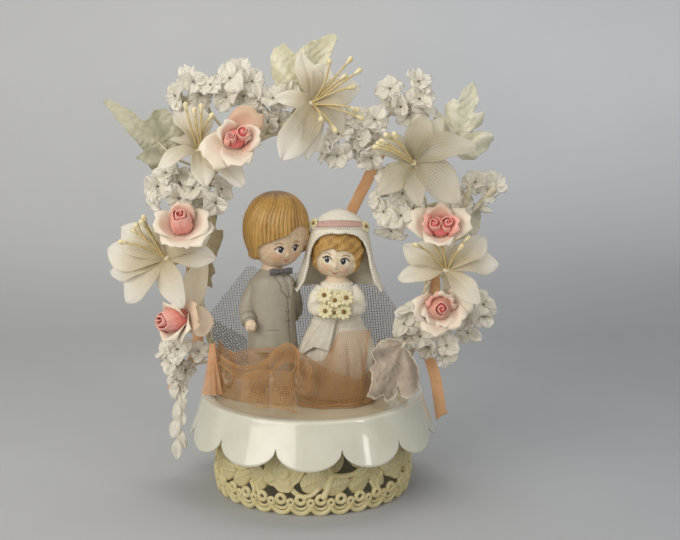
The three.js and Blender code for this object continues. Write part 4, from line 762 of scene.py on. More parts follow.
arm(coat, about(-18.6, 0, (-7.2, 0, 53), (-10.0, -0.8, 46.5), (-11.8, -3, 41), (-11.4, -7, 37.8), (-10.6, -9.2, 36.2)),
    [3.6, 4.2, 4.0, 3.6, 3.3], GREY, GREY, 2.7)
arm(coat, about(-19.5, 0, (7.4, 1, 53), (9.6, 4, 47), (10.8, 7, 40), (10.8, 10, 36)), [3.6, 4.2, 4.0, 3.5], GREY, None, 2.2)
for side in (-1, 1):
    leg = np.array([(-19.5 + side * 6.0, -0.5, FLOOR + z) for z in (24, 18, 12, 6, 2.5)])
    coat.tube(leg, np.array([5.4, 5.2, 5.0, 4.9, 5.0]), 28, lin("#b9b3a6"))
    shoe = Soup()
    shoe.ball((0, -2.6, 1.9), (3.6, 6.4, 2.1), 14, 24, lin("#6f6a64"))
    coat.put(shoe, at=(-19.5 + side * 6.2, -0.5, FLOOR))
coat.build("groom_coat", [BISQUE], ["groom_body"], "grey_coat")

tie = Soup()
for side in (-1, 1):
    rows = []
    for v in np.linspace(0, 1, 16):
        w = 0.6 + 1.25 * math.sin(math.pi * min(1, v * 0.78) ** 0.9) + 0.35 * (v > 0.93)
        depth = 0.35 + 0.9 * math.sin(math.pi * min(1, 0.12 + v * 0.8))
        ring = []
        for q in np.arange(22) * TURN / 22:
            crease = 0.16 * math.cos(3 * q) * (1 - v)
            ring.append((side * (0.4 + 5.9 * v), -depth * math.cos(q) * (1 + crease), w * math.sin(q)))
        rows.append(ring)
    tie.grid(np.array(rows), TIE, wrap=True, ends=True)
tie.ball((0, -0.5, 0), (1.15, 1.2, 1.25), 12, 16, TIE)
turned = Soup()
c, s = math.cos(0.42), math.sin(0.42)
turned.put(tie, np.array([[c, -s, 0], [s, c, 0], [0, 0, 1]]), (-14.2, -7.3, 104.2), 0.88)
turned.build("groom_tie_bow", [BISQUE], ["groom_bow_tie"], "dark_tie")

# Bride's gown, with fluted skirt, sleeves and the streamers of the bouquet

gown = Soup()
zz, aa, rx, ry = loft([(45.2, 18.6, 17.6), (50, 18.4, 17.0), (58, 18.8, 16.2), (66, 18.2, 14.8), (73, 15.4, 12.7), (77, 13.1, 11.0),
                       (80, 11.3, 9.8), (85, 10.2, 8.9), (90, 9.9, 8.9), (94, 9.4, 8.4), (97, 7.6, 7.0), (99, 5.4, 5.4),
                       (101, 4.2, 4.4), (104, 3.9, 4.1)], None, 260, 170)
skirt = smooth(79, 60, zz)
flute = 0.62 * np.sin(aa * 13 + 0.25 * np.sin(zz * 0.2)) * skirt + 0.25 * np.sin(aa * 31 + 1) * skirt
belt = 0.5 * np.exp(-((zz - 79.6) / 0.8) ** 2)
hem = 0.5 * np.exp(-((zz - 46.2) / 0.8) ** 2)
neck = 0.45 * np.exp(-((zz - 97.6) / 0.6) ** 2) * (1 + 0.5 * np.sin(aa * 24))
p = np.stack([11.5 + (rx + flute + belt + hem + neck) * np.sin(aa), -(ry + flute + belt + hem + neck) * np.cos(aa), zz], -1)
col = np.broadcast_to(np.array(WHITE), zz.shape + (3,)).copy()
col = paint(col, 0.3 * smooth(84, 74, zz), lin("#b9b09c"))
col = paint(col, smooth(98.3, 98.8, zz), SKIN)
gown.grid(p, col, wrap=True, ends=True)
for side in (-1, 1):
    arm(gown, about(11.5, 0, (side * 7.2, -0.5, 50.6), (side * 9.2, -2, 46.8), (side * 10.2, -5, 42.4), (side * 9.0, -10.5, 41.8),
                    (side * 6.2, -15.0, 43.0)), [2.8, 3.6, 3.5, 3.1, 2.6], WHITE, None, 0)
    gown.ball((11.5 + side * 4.4, -16.2, FLOOR + 43.6), (2.2, 2.1, 2.0), 12, 18, SKIN)
    for k in range(3):
        gown.ball((11.5 + side * (3.0 + 0.3 * k), -17.8, FLOOR + 42.4 + 0.95 * k), (1.5, 0.7, 0.6), 7, 9, SKIN)
sash = []
for v in np.linspace(0, 1, 40):
    z = 86.0 - 20.6 * v
    row = []
    for w in np.linspace(-1, 1, 15):
        half = 2.4 + 5.4 * v
        x = 9.8 - 9.6 * v + w * half
        zw = z + 4.8 * (1 - abs(w)) * v ** 6 + 3.0 * v * w
        r_x = np.interp(zw, [60, 66, 73, 77, 80, 85, 90], [19.6, 18.8, 15.8, 13.4, 11.5, 10.2, 10]) + 1.1
        y = -0.88 * math.sqrt(max(20.0, r_x * r_x - (x - 11.5) ** 2)) - 0.4 - 1.2 * (1 - v) - 0.45 * math.sin(w * 5 + 1) * v
        row.append((x, y, zw))
    sash.append(row)
sash = np.array(sash)
back = sash + np.array((0, 0.9, 0))
gown.grid(np.concatenate([sash, back[:, ::-1]], 1), lin("#c9c4b7"), wrap=True, ends=True)
gown.build("bride_gown_fluted", [BISQUE], ["bride_gown"], "white_bisque")


def daisy(soup, at, direction, size, petals=9, spin=0.0, tone=CREAM):
    turn = facing(direction, spin)
    one = Soup()
    for k in range(petals):
        q = TURN * k / petals
        rows = []
        for v in np.linspace(0, 1, 7):
            half = size * 0.33 * math.sin(math.pi * (0.12 + 0.8 * v)) ** 0.7
            ring = []
            for b in np.arange(8) * TURN / 8:
                ring.append((size * (0.18 + 0.82 * v), half * math.cos(b), 0.22 * size * (0.35 + 0.4 * v) + 0.1 * size * math.sin(b)))
            rows.append(ring)
        g = np.array(rows)
        c, s = math.cos(q), math.sin(q)
        one.grid(g @ np.array([[c, -s, 0], [s, c, 0], [0, 0, 1]]).T, tone, wrap=True, ends=True)
    one.ball((0, 0, 0.2 * size), (0.3 * size, 0.3 * size, 0.22 * size), 7, 12, mat=1)
    soup.put(one, turn, at)


bouquet = Soup()
bouquet.ball((10.6, -16.4, 90.6), (6.2, 3.6, 7.2), 16, 26, lin("#ded9b8"))
for x, y, z, size in ((6.0, -20.2, 95.6, 3.6), (10.6, -21.0, 93.4, 3.5), (15.6, -20.2, 94.4, 3.6), (6.4, -20.6, 88.4, 3.5), (14.6, -20.4, 88.0, 3.6),
                      (10.5, -20.2, 87.6, 2.6)):
    daisy(bouquet, (x, y, z), (0.05 * (x - 10.6), -1, 0.25 + 0.03 * (z - 91)), size, 9, x)
bouquet.build("bride_bouquet_daisies", [BISQUE, CENTRE], ["bride_bouquet"], "cream_flowers")

# Veil: a hood with an arched opening, a pearl edging, a ribbon band and two daisies

VEIL_Z = (94.8, 103, 110, 117, 122, 126, 128, 130, 131.4, 132.4)
VEIL_X = (20.6, 17.9, 15.9, 14.6, 13.5, 11.9, 10.1, 7.3, 4.2, 0.1)
VEIL_Y = (14.2, 13.6, 13.2, 12.9, 12.3, 10.9, 9.2, 6.6, 3.9, 0.1)
OPEN_Z = (94.8, 100, 106, 111, 115, 118.6, 121, 122.3, 122.9, 123.2)
OPEN_A = (70, 60, 60, 63, 60, 52, 41, 30, 18, 0)


def on_veil(psi, z, out=0.0):
    x = np.interp(z, VEIL_Z, VEIL_X) + out
    y = np.interp(z, VEIL_Z, VEIL_Y) + out
    return np.stack([12.6 + x * np.sin(psi), 0.2 - y * np.cos(psi), z + 0 * psi], -1)


def opening_at(z):
    return np.radians(np.interp(z, OPEN_Z, OPEN_A))


veil = Soup()
z = np.concatenate([np.linspace(94.8, 126, 90), 126 + 6.4 * np.sin(np.linspace(0.02, math.pi / 2, 34))])
u = np.linspace(0, 1, 150)
zz, uu = np.meshgrid(z, u, indexing="ij")
start = opening_at(zz)
psi = start + uu * (TURN - 2 * start)
low = smooth(122, 98, zz)
wave = low * (0.55 * np.sin(uu * 46) + 0.35 * np.sin(uu * 23 + 1.0))
outer = on_veil(psi, zz, wave)
inner = on_veil(psi, zz, wave - 0.9)
shut = zz > 123.2
col = np.broadcast_to(np.array(WHITE), zz.shape + (3,)).copy()
veil.grid(outer, col)
veil.grid(inner[:, ::-1], col)
veil.grid(np.stack([outer[0], inner[0]], 0), WHITE)
veil.ball((12.6, -12.6, 123.2), (3.2, 1.2, 0.9), 10, 16, WHITE)
for side in (0, -1):
    veil.grid(np.stack([outer[:, side], inner[:, side]], 0), WHITE)
for side in (-1, 1):
    track = []
    for zb in np.concatenate([np.linspace(94.8, 120.5, 400), np.linspace(120.5, 123.1, 300)]):
        track.append(on_veil(side * opening_at(zb), zb, 0.1))
    track = np.array(track)
    dist = np.concatenate([[0], np.cumsum(np.linalg.norm(np.diff(track, axis=0), axis=1))])
    for s in np.arange(0, dist[-1], 1.2):
        q = [np.interp(s, dist, track[:, k]) for k in range(3)]
        veil.ball(q, (0.68, 0.68, 0.68), 7, 10, WHITE)
for s in np.arange(0.02, 1, 0.0125):
    st = opening_at(94.8)
    veil.ball(on_veil(st + s * (TURN - 2 * st), 95.0, 0.3), (0.6, 0.6, 0.6), 6, 8, WHITE)
t = np.linspace(-1, 1, 60)
band = []
for w, out in ((-1.5, 0.1), (-1.2, 0.75), (0, 0.95), (1.2, 0.75), (1.5, 0.1)):
    band.append(on_veil(np.radians(62 * t), 126.8 - 1.2 * t * t + w * 0.95, out))
veil.grid(np.array(band), MAUVE)
for k in (-1.75, 1.75):
    for a in np.linspace(-1, 1, 25):
        veil.ball(on_veil(math.radians(62 * a), 126.8 - 1.2 * a * a + k, 0.45), (0.5, 0.5, 0.5), 6, 8, WHITE)
daisy(veil, on_veil(math.radians(-66), 126.2, 0.8), (-0.75, -0.6, 0.35), 2.7, 8)
daisy(veil, on_veil(math.radians(66), 124.8, 0.8), (0.75, -0.6, 0.3), 2.7, 8)
veil.build("bride_veil_hood", [BISQUE, CENTRE], ["bride_veil"], "white_bisque")


# Flowers on the arch, each with its seat on the wire.  A lily has its throat, the way it faces, the tips of
# its petals and of its stamens; a spray has its knots of florets, each with a middle, its reach and a count

LILIES = [
    ((-56, 8, 109.8), (-66.6, -12, 111.3), (-0.3, -0.8, 0.5),
     [(-28, 9, -8), (-19, -2, -20), (8, -11, -21), (23, -4, 1), (20, 4, 13), (-22, 11, 13), (-2, 11, 18), (-29, 11, 3)],
     [(-12, -3, 15), (-9, -3, 18), (-10, -4, 16.5), (-19, -4, 8), (-14, -3, 13)]),
    ((-41.8, 8, 154), (-50.9, -8, 160.3), (0.05, -0.6, 0.8),
     [(-12, 11, 19), (-3, 11, 22), (21, -12, -15), (15, 0, -4), (-18, -5, -7), (4, -12, -15), (-15, 11, 6)],
     [(-5, -3, 20), (2, -3, 19), (10, -8, 10), (14, -7, 10), (-1, -3, 17), (6, -3, 15)]),
    ((3.3, 8, 175.8), (0.5, -11, 181.2), (0.5, -0.75, 0.3),
     [(-4, 10, 23), (8, 11, 18), (22, 11, 8), (17, 10, -13), (-2, -7, -24), (-13, -12, -24), (-16, -5, 3)],
     [(8, -4, 18), (17, -3, 19), (20, -3, 14), (18, -3, 7), (19, -5, -2), (21, -5, -6), (4, -16, -6), (10, -14, -10), (14, -3, 12)]),
    ((42.8, 8, 152.7), (46.3, -13, 154.9), (-0.3, -0.75, 0.55),
     [(4, 11, 22), (13, 11, 20), (28, -2, 8), (19, -12, -16), (2, -10, -18), (-17, 1, -14), (-20, 11, 10)],
     [(-17, -5, 7), (-14, -4, 10), (-16, -4, 8.5), (-12, -4, 12), (-9, -6, 13)]),
    ((56, 8, 104.9), (61.5, -13, 106.2), (0, -0.75, 0.65),
     [(-22, 1, -4), (-19, 11, 10), (19, 11, 14), (25, 6, 2), (15, -8, -14), (3, 6, -13), (1, 11, 16)],
     [(-14, -6, 12), (-8, -3, 16), (-5, -3, 16), (-2, -4, 16), (9, -4, 15), (6, -8, 11)]),
]
SPRAYS = [
    ((-35.3, 8, 161.3), [((-55.5, 6, 186.5), (9, 5, 8), 11)]),
    ((-20.5, 8, 171.2), [((-35.1, 3, 188.5), (11, 5, 7.5), 15), ((-17.2, 0, 178.8), (8.5, 5, 10), 15)]),
    ((-48.7, 8, 143), [((-66, -4, 143.5), (10, 5, 9), 13), ((-50, -6, 142), (12, 6, 10), 17)]),
    ((27.7, 8, 167.4), [((43.1, 4, 182.4), (11.5, 5, 10.5), 17), ((23.5, -1, 172), (6, 4, 8), 8)]),
    ((50.7, 8, 138.5), [((39.4, -1, 135.2), (10, 6, 12.5), 20)]),
    ((52.7, 8, 132.3), [((79, 4, 140), (9.5, 5, 9), 9), ((66, 2, 134), (5, 4, 5), 5)]),
    ((51, 8, 74.4), [((47.5, -4, 79), (6.5, 5, 10.5), 12), ((59.6, 0, 66.5), (6, 4, 6.5), 8)]),
    ((-47.8, 8, 65.2), [((-62.5, -2, 62.5), (9.5, 5, 8), 13)]),
    ((14.4, 8, 173.5), [((11, -4, 161), (6.5, 4.5, 7.5), 10), ((24.7, -2, 164), (6, 4, 8), 9)]),
    ((53.8, 8, 87.2), [((75, 2, 82.5), (9.5, 5, 8), 12)]),
]


def spin_z(q):
    c, s = math.cos(q), math.sin(q)
    return np.array([[c, -s, 0], [s, c, 0], [0, 0, 1]])


def stem(soup, seat, place, turn, start, radius=0.75, mat=0):
    seat, place = np.array(seat, float), np.array(place, float)
    back = place + turn @ np.array(start, float)
    end = seat + (back - seat) / np.linalg.norm(back - seat) * 1.2
    reach = np.linalg.norm(back - end) / 3
    b = [back, back - turn @ np.array((0, 0, reach)), end + 0.35 * (back - end), end]
    t = np.linspace(0, 1, 16)[:, None]
    path = (1 - t) ** 3 * b[0] + 3 * t * (1 - t) ** 2 * b[1] + 3 * t * t * (1 - t) * b[2] + t ** 3 * b[3]
    soup.tube(path, radius, 8, lin("#e6e0cf"), mat)


def sheer_petal(tip, axis, width, rnd):
    """A sheer petal from the throat to its tip: narrow claw, broad blade, short point, soft waves."""
    n, k = 30, 17
    u = tip / np.linalg.norm(tip)
    up = axis - np.dot(axis, u) * u
    up /= np.linalg.norm(up)
    side = np.cross(u, up)
    ph = rnd.uniform(0, TURN, 4)
    v, w = np.meshgrid(np.linspace(0, 1, n), np.linspace(-1, 1, k), indexing="ij")
    half = np.maximum(0.3, 0.5 * width * np.sin(math.pi * np.clip(0.03 + 0.965 * v, 0, 1) ** 1.1) ** 0.74)
    size = np.linalg.norm(tip)
    rise = 0.16 * size * np.sin(math.pi * v ** 0.75) + 0.3 * half * w * w * (1.2 - 1.7 * v)
    rise += 0.2 * half * np.abs(w) * np.sin(8 * v + ph[0] + 2 * np.sign(w)) - 0.4 * np.exp(-(w / 0.12) ** 2) * np.sin(math.pi * v)
    rise += 0.4 * np.sin(4.5 * w + ph[1] + 4 * v) * v
    drift = half * w * (1 + 0.05 * np.sin(9 * v + ph[2] * w)) + 0.07 * size * math.sin(ph[3]) * np.sin(math.pi * v)
    return v[..., None] * tip + rise[..., None] * up + drift[..., None] * side


for number, (seat, place, faces, tips, ends) in enumerate(LILIES, 1):
    rnd = np.random.default_rng(100 + number)
    axis = np.array(faces) / np.linalg.norm(faces)
    turn = facing(faces)
    bloom = Soup()
    for k, tip in enumerate(tips):
        tip = np.array(tip, float)
        long = np.linalg.norm(tip)
        g = sheer_petal(tip, axis, (0.5 + 0.08 * (k % 2)) * long, rnd) + axis * (0.35 * (k % 3) - 1.2)
        bloom.grid(g + np.array(place), tag=rnd.uniform())
    # Lily 4 takes the darker petal copy, painted shade
    bloom.build("lily_%d_bloom" % number, [SHEER_SHADED if number == 4 else PETAL], ["lily_%d_petals" % number], "ivory_petal", solid=0.2)
    calyx = Soup()
    green = Soup()
    z = np.linspace(-7, 0.6, 12)
    r = np.interp(z, [-7, -5, -1, 0.6], [0.7, 1.4, 2.0, 1.6])
    a = np.arange(18) * TURN / 18
    green.grid(np.stack([r[:, None] * np.cos(a), r[:, None] * np.sin(a), np.repeat(z[:, None], 18, 1)], -1), lin("#ded6bb"), wrap=True, ends=True)
    calyx.put(green, turn, place)
    stem(calyx, seat, place, turn, (0, 0, -6))
    tuft = Soup()
    for end in ends:
        end = np.array(end, float) + rnd.uniform(-0.5, 0.5, 3)
        t = np.linspace(0, 1, 14)[:, None]
        root = axis * -0.5 + rnd.uniform(-0.6, 0.6, 3)
        path = root + (end - root) * t + axis * 2.2 * np.sin(math.pi * t) + rnd.uniform(-0.8, 0.8, 3) * np.sin(math.pi * t)
        tuft.tube(path, np.linspace(0.36, 0.58, 14), 8, mat=1)
        d = path[-1] - path[-2]
        d /= np.linalg.norm(d)
        p = np.array([path[-1] + d * w for w in (-2.4, -1.5, -0.4, 0.6, 1.4, 1.9, 2.15)])
        tuft.tube(p, np.array([0.58, 0.8, 1.05, 1.3, 1.15, 0.72, 0.2]), 12, mat=2)
    calyx.put(tuft, np.eye(3), place)
    calyx.build("lily_%d_tuft" % number, [TAPE, THREAD, PEARL], ["lily_%d_stamens" % number], "gold_stamen")


# Rosebuds: a coral ribbon lapped round to a plump bud, in loose petals that go from blush to cream.  Each
# loose petal has its bearing in the front view (degrees), height, width, reach and its two colours

CORAL_DEEP, CORAL_LOW, CORAL_MID, CORAL_RIM = lin("#ea6268"), lin("#ee7f7b"), lin("#fca698"), lin("#ffc8b9")
CREAM_LOW, CREAM_RIM, BLUSH_LOW, BLUSH_RIM = lin("#f0ddc8"), lin("#f8f0e0"), lin("#e6b29d"), lin("#f3dcca")
ROSES = [
    ((-30.3, 8, 165.5), (-33.3, -20, 166.5), (0.1, -0.85, 0.45),
     [((3.2, 0, 1.6), 0.68, 1.5, 0.0, 0.0), ((-1.8, -1.0, -0.8), 0.68, 2.2, 0.3, 0.08)],
     [(62, 6, 16, 15, BLUSH_LOW, lin("#d9bfa4")), (5, 7, 13, 10, BLUSH_LOW, CREAM_RIM), (222, 5, 18, 16, CREAM_LOW, CREAM_RIM),
      (275, 6, 15, 13, CREAM_LOW, CREAM_RIM), (140, 8, 12, 7, BLUSH_RIM, CREAM_RIM), (20, 9, 9, 5.2, CORAL_LOW, BLUSH_RIM)]),
    ((-53.9, 8, 127.6), (-58.4, -20, 128.2), (0.02, -0.72, 0.66),
     [((0, 0, 0), 1.16, 2.3, 0.34, 0.09)],
     [(0, 7, 17, 12, CREAM_LOW, CREAM_RIM), (262, 4, 18, 12, CREAM_LOW, CREAM_RIM), (85, 10, 13, 7.0, BLUSH_LOW, BLUSH_RIM),
      (180, 6, 15, 11, CREAM_LOW, CREAM_RIM), (322, 5, 17, 14, CREAM_LOW, CREAM_RIM)]),
    ((-53.2, 8, 84), (-62.2, -12, 82.5), (-0.66, -0.7, 0.05),
     [((0, 0, 0), 1.4, 2.5, 0.3, 0.03)],
     [(262, 11, 17, 8.5, CREAM_LOW, CREAM_RIM), (95, 10, 14, 7.5, BLUSH_RIM, CREAM_RIM), (10, 4, 15, 15, BLUSH_RIM, lin("#eed3b6")),
      (330, 6, 14, 10, CREAM_LOW, CREAM_RIM), (190, 6, 12, 7.5, BLUSH_LOW, BLUSH_RIM)]),
    ((54.2, 8, 126), (58.2, -18, 126.8), (0, -0.86, 0.5),
     [((-3.0, 0, 0), 0.7, 1.6, 0.08, 0.05), ((3.1, 0.6, 0.3), 0.72, 1.6, 0.08, 0.05)],
     [(2, 9, 10, 7.2, CORAL_LOW, CORAL_RIM), (178, 9, 10, 7.2, CORAL_LOW, CORAL_RIM), (95, 7, 15, 8.5, BLUSH_LOW, BLUSH_RIM),
      (262, 5, 17, 9, BLUSH_RIM, CREAM_RIM), (18, 5, 15, 13, CREAM_LOW, CREAM_RIM), (160, 5, 15, 13, CREAM_LOW, CREAM_RIM)]),
    ((54.4, 8, 90.4), (58.9, -13, 88.4), (0.1, -0.97, 0.1),
     [((0, 0, 0), 0.8, 2.0, 0.1, 0.04)],
     [(130, 8, 10, 6.4, lin("#f2a595"), CORAL_RIM), (35, 7.5, 9, 6.0, lin("#f2a595"), BLUSH_RIM), (185, 8, 14, 12, lin("#efcfba"), CREAM_RIM),
      (250, 8, 15, 12, lin("#e9c2ab"), CREAM_RIM), (325, 8, 14, 11, lin("#efcfba"), CREAM_RIM), (15, 7, 14, 14, CREAM_LOW, CREAM_RIM),
      (75, 8, 11, 6.6, lin("#fbc4b6"), CREAM_RIM), (285, 6, 11, 8.0, lin("#f6d6c6"), CREAM_RIM), (215, 7, 11, 8.0, lin("#f6d6c6"), CREAM_RIM)]),
]


def shaded(g, low, high, power=1.0):
    v = np.linspace(0, 1, g.shape[0])[:, None, None] ** power
    return np.array(low) + v * (np.array(high) - np.array(low)) + 0 * g


def rolled(turns, height, pinch, boxy, deep, rnd):
    """Ribbon rolled up from the inside out, drawn in at the top, with a lip along its free edge."""
    v, w = np.meshgrid(np.linspace(0, 1, 18), np.linspace(0, 1, 110), indexing="ij")
    ph = rnd.uniform(0, TURN, 3)
    q = TURN * turns * w + ph[2]
    lip = np.clip((v - 0.84) / 0.16, 0, 1)
    r = (0.5 + 4.6 * w ** 0.85) * (0.62 + 0.38 * np.sin(math.pi * (0.12 + 0.66 * v))) * (1 - pinch * v ** 3)
    r = r * (1 + boxy * np.cos(4 * q + ph[0])) + 0.4 * lip ** 2 * w + 0.12 * np.sin(11 * q + 5 * v + ph[1])
    z = -2.5 + height * v * (1 - 0.24 * w) + 0.45 * v * np.sin(2.4 * q + ph[1])
    # The inner turns take a deeper coral than the outer lap; the top edge is painted lighter, a painted highlight along
    # the rim
    outer = np.clip(w * turns - (turns - 1), 0, 1)[..., None] ** 0.5
    col = np.array(deep) + outer * (np.array(CORAL_MID) - np.array(deep))
    col = col + (v ** 2.5)[..., None] * (np.array(CORAL_RIM) - col)
    return np.stack([r * np.cos(q), r * np.sin(q), z], -1), col


def loose_petal(height, width, reach, rnd):
    """A petal that hugs the bud, cupped across, with a rolled and rippled rim."""
    v, w = np.meshgrid(np.linspace(0, 1, 22), np.linspace(-1, 1, 19), indexing="ij")
    ph = rnd.uniform(0, TURN, 2)
    half = 0.5 * width * np.sin(math.pi * (0.14 + 0.72 * v) ** 0.9) ** 0.55
    edge = np.clip((v - 0.72) / 0.28, 0, 1)
    out = 3.2 + (reach - 3.2) * v ** 0.9 + 0.9 * edge ** 2
    bend = half * w / np.maximum(5.5, 0.95 * out)
    rr = out + 0.9 * np.clip((np.abs(w) - 0.7) / 0.3, 0, 1) ** 2
    rr += 0.45 * np.sin(4.4 * w + ph[0]) * v + 0.2 * np.sin(9 * v + ph[1] + 3 * w) + 0.15 * edge * np.sin(9 * w + ph[1])
    z = -4 + (height + 1.5) * (v - 0.14 * edge ** 2) - 0.24 * height * np.abs(w) ** 3 * v + 0.3 * edge * np.sin(5.5 * w + ph[0])
    return np.stack([rr * np.sin(bend), -rr * np.cos(bend), z], -1)


for number, (seat, place, faces, rolls, loose) in enumerate(ROSES, 1):
    rnd = np.random.default_rng(200 + number)
    turn = facing(faces)
    heart = Soup()
    for offset, size, turns, pinch, boxy in rolls:
        roll = Soup()
        roll.ball((0, 0, 2.2), (3.1, 3.1, 4.0), 14, 24, CORAL_LOW)
        roll.grid(*rolled(turns, 11.0, pinch, boxy, CORAL_LOW if number == 5 else CORAL_DEEP, rnd))
        heart.put(roll, turn, np.array(place) + np.array(offset, float), size)
    heart.build("rosebud_%d_roll" % number, [CORAL], ["rosebud_%d_heart" % number], "coral_satin", solid=0.35)
    cup = Soup()
    wide = 5.6 if number == 5 else 4.3
    cup.ball((0, 0, -0.8), (wide, wide, 0.7 * wide), 14, 24, BLUSH_LOW if number == 5 else CORAL_LOW)
    for angle, height, width, reach, low, high in loose:
        way = np.array((math.cos(math.radians(angle)), 0, math.sin(math.radians(angle)))) @ turn
        g = loose_petal(height, width, reach, rnd)
        cup.grid(g @ spin_z(math.atan2(way[1], way[0]) + math.pi / 2).T, shaded(g, low, high, 1.3))
    whole = Soup()
    whole.put(cup, turn, place)
    if number == 3:
        g = sheer_petal(np.array((12.4, 1.0, 0.8)), np.array((-0.5, -0.8, 0.3)), 14.5, rnd) + np.array((-58.0, -9.0, 80.0))
        whole.grid(g, shaded(g, lin("#fff0de"), lin("#fdebd4")))
        g = sheer_petal(np.array((7.0, 2.0, 27.0)), np.array((0.1, -0.97, 0.1)), 11.5, rnd) + np.array((-57.0, 0.5, 82.0))
        whole.grid(g, shaded(g, lin("#f7efdc"), lin("#f2e8d0")))
    whole.build("rosebud_%d_petals" % number, [WHITE_SATIN], ["rosebud_%d_cup" % number], "cream_satin", solid=0.3)
    foot = Soup()
    z = np.linspace(-8.5, -2.6, 12)
    r = np.interp(z, [-8.5, -6.5, -4, -2.6], [0.7, 1.6, 3.2, 3.6])
    a = np.arange(20) * TURN / 20
    foot.grid(np.stack([r[:, None] * np.cos(a), r[:, None] * np.sin(a), np.repeat(z[:, None], 20, 1)], -1), lin("#e9e2d0"), wrap=True, ends=True)
    whole = Soup()
    whole.put(foot, turn, place)
    stem(whole, seat, place, turn, (0, 0, -8))
    whole.build("rosebud_%d_stem" % number, [TAPE], (), "floral_tape")


# Sprays of crimped satin florets, each with a dark ball at its centre as painted shade in its pin-hole

def floret_template(rnd):
    s = Soup()
    for k in range(5):
        v, w = np.meshgrid(np.linspace(0, 1, 10), np.linspace(-1, 1, 13), indexing="ij")
        lean, curl, long = rnd.uniform(0.0, 0.75), rnd.uniform(0.0, 1.2), rnd.uniform(4.4, 6.4)
        ph = rnd.uniform(0, TURN, 2)
        half = 0.6 * long * np.sin(math.pi * (0.08 + 0.8 * v) ** 0.9) ** 0.7
        out = 0.4 + long * v * np.cos(lean - 0.6 * curl * v) - 0.16 * long * v * np.abs(w) ** 3
        up = long * v * np.sin(lean - 0.6 * curl * v) + 0.25 * half * w * w
        up += v * (0.75 * np.sin(4.6 * w + ph[0] + 1.5 * v) + 0.35 * np.sin(10 * w + ph[1])) + 0.16 * np.cos(9 * w)
        s.grid(np.stack([half * w, -out, up], -1) @ spin_z(TURN * k / 5 + rnd.uniform(-0.3, 0.3)).T)
    # the dark ball in the middle is painted shade in the pin-hole
    s.ball((0, 0, 0.4), (0.26, 0.26, 0.3), 6, 8, mat=1)
    return s


def bud_template(length, radius):
    s = Soup()
    rows = []
    for v in np.linspace(0, 1, 12):
        r = radius * math.sin(math.pi * (0.06 + 0.9 * v) ** 0.75) ** 0.9
        rows.append([(r * (1 + 0.16 * math.cos(5 * q + 3 * v)) * math.cos(q), r * (1 + 0.16 * math.cos(5 * q + 3 * v)) * math.sin(q), length * v)
                     for q in np.arange(20) * TURN / 20])
    s.grid(np.array(rows), wrap=True, ends=True)
    return s


golden = math.pi * (3 - math.sqrt(5))
for number, (seat, knots) in enumerate(SPRAYS, 1):
    rnd = np.random.default_rng(300 + number)
    petals, wires = Soup(), Soup()
    seat = np.array(seat, float)
    for middle, reach, count in knots:
        count = max(4, round(0.42 * count))
        middle, reach = np.array(middle, float), np.array(reach, float)
        fork = middle + 0.45 * (seat - middle) + np.array((0, 2.0, 0))
        t = np.linspace(0, 1, 9)[:, None]
        wires.tube(seat + (fork - seat) * t, 0.75, 7, lin("#e6e0cf"))
        for i in range(count):
            y = -0.97 + 1.45 * (i + 0.5) / count
            q = golden * i + number
            ball = math.sqrt(1 - y * y)
            way = np.array((ball * math.cos(q), y, ball * math.sin(q)))
            tip = middle + way * reach * rnd.uniform(0.6, 1.08) + rnd.uniform(-1.2, 1.2, 3)
            wires.tube(fork + (tip - fork) * t + np.array((0, 0, 0.8)) * np.sin(math.pi * t), 0.42, 6, lin("#efe9dc"))
            look = 0.7 * way + np.array((-0.2, -0.75, 0.3)) + rnd.uniform(-0.4, 0.4, 3)
            if number == 6 and i % 3 == 2:
                petals.put(bud_template(8.5, 1.7), facing((tip - fork) / np.linalg.norm(tip - fork)), tip - 0.1 * (tip - fork))
            else:
                petals.put(floret_template(rnd), facing(look, rnd.uniform(0, TURN)), tip, rnd.uniform(1.05, 1.35))
    petals.build("spray_%d_florets" % number, [FLORET, PINHOLE_SHADE], ["spray_%d" % number], "white_satin", solid=0.2)
    wires.build("spray_%d_wires" % number, [TAPE], (), "floral_tape")

drop = Soup()
drop_at = np.array((-64.7, 7, 58.7))
string = [drop_at + np.array((0.5 * math.sin(i * 0.9), 0, -i * 1.0)) for i in range(42)]
rnd = np.random.default_rng(350)
for i in range(9):
    root = np.array(string[min(39, round(1 + 4.7 * i))])
    side = 1 if i % 2 else -1
    tip = np.array((side * rnd.uniform(1.5, 4.5), rnd.uniform(-2.5, 0.5), -rnd.uniform(9.0, 12.5)))
    if i == 8:
        tip = np.array((-1.5, -0.5, -11.0))
    drop.grid(root + sheer_petal(tip, np.array((0.25 * side, -0.95, 0.1)), rnd.uniform(4.0, 5.6), rnd))
for i in range(5):
    drop.put(floret_template(rnd), facing((rnd.uniform(-0.8, 0.8), -0.8, 0.1)), drop_at + np.array((rnd.uniform(-3, 3), -1.5, 2 - 4.4 * i)), 0.62)
drop.build("bud_drop_buds", [FLORET, PINHOLE_SHADE], ["bud_drop"], "white_satin", solid=0.2)
thread = Soup()
thread.tube(np.array(string), 0.5, 8, lin("#efe9dc"))
stem(thread, (-44.7, 8, 57.7), drop_at, np.eye(3), (0, 0, 0.3))
thread.build("bud_drop_wire", [TAPE], (), "floral_tape")
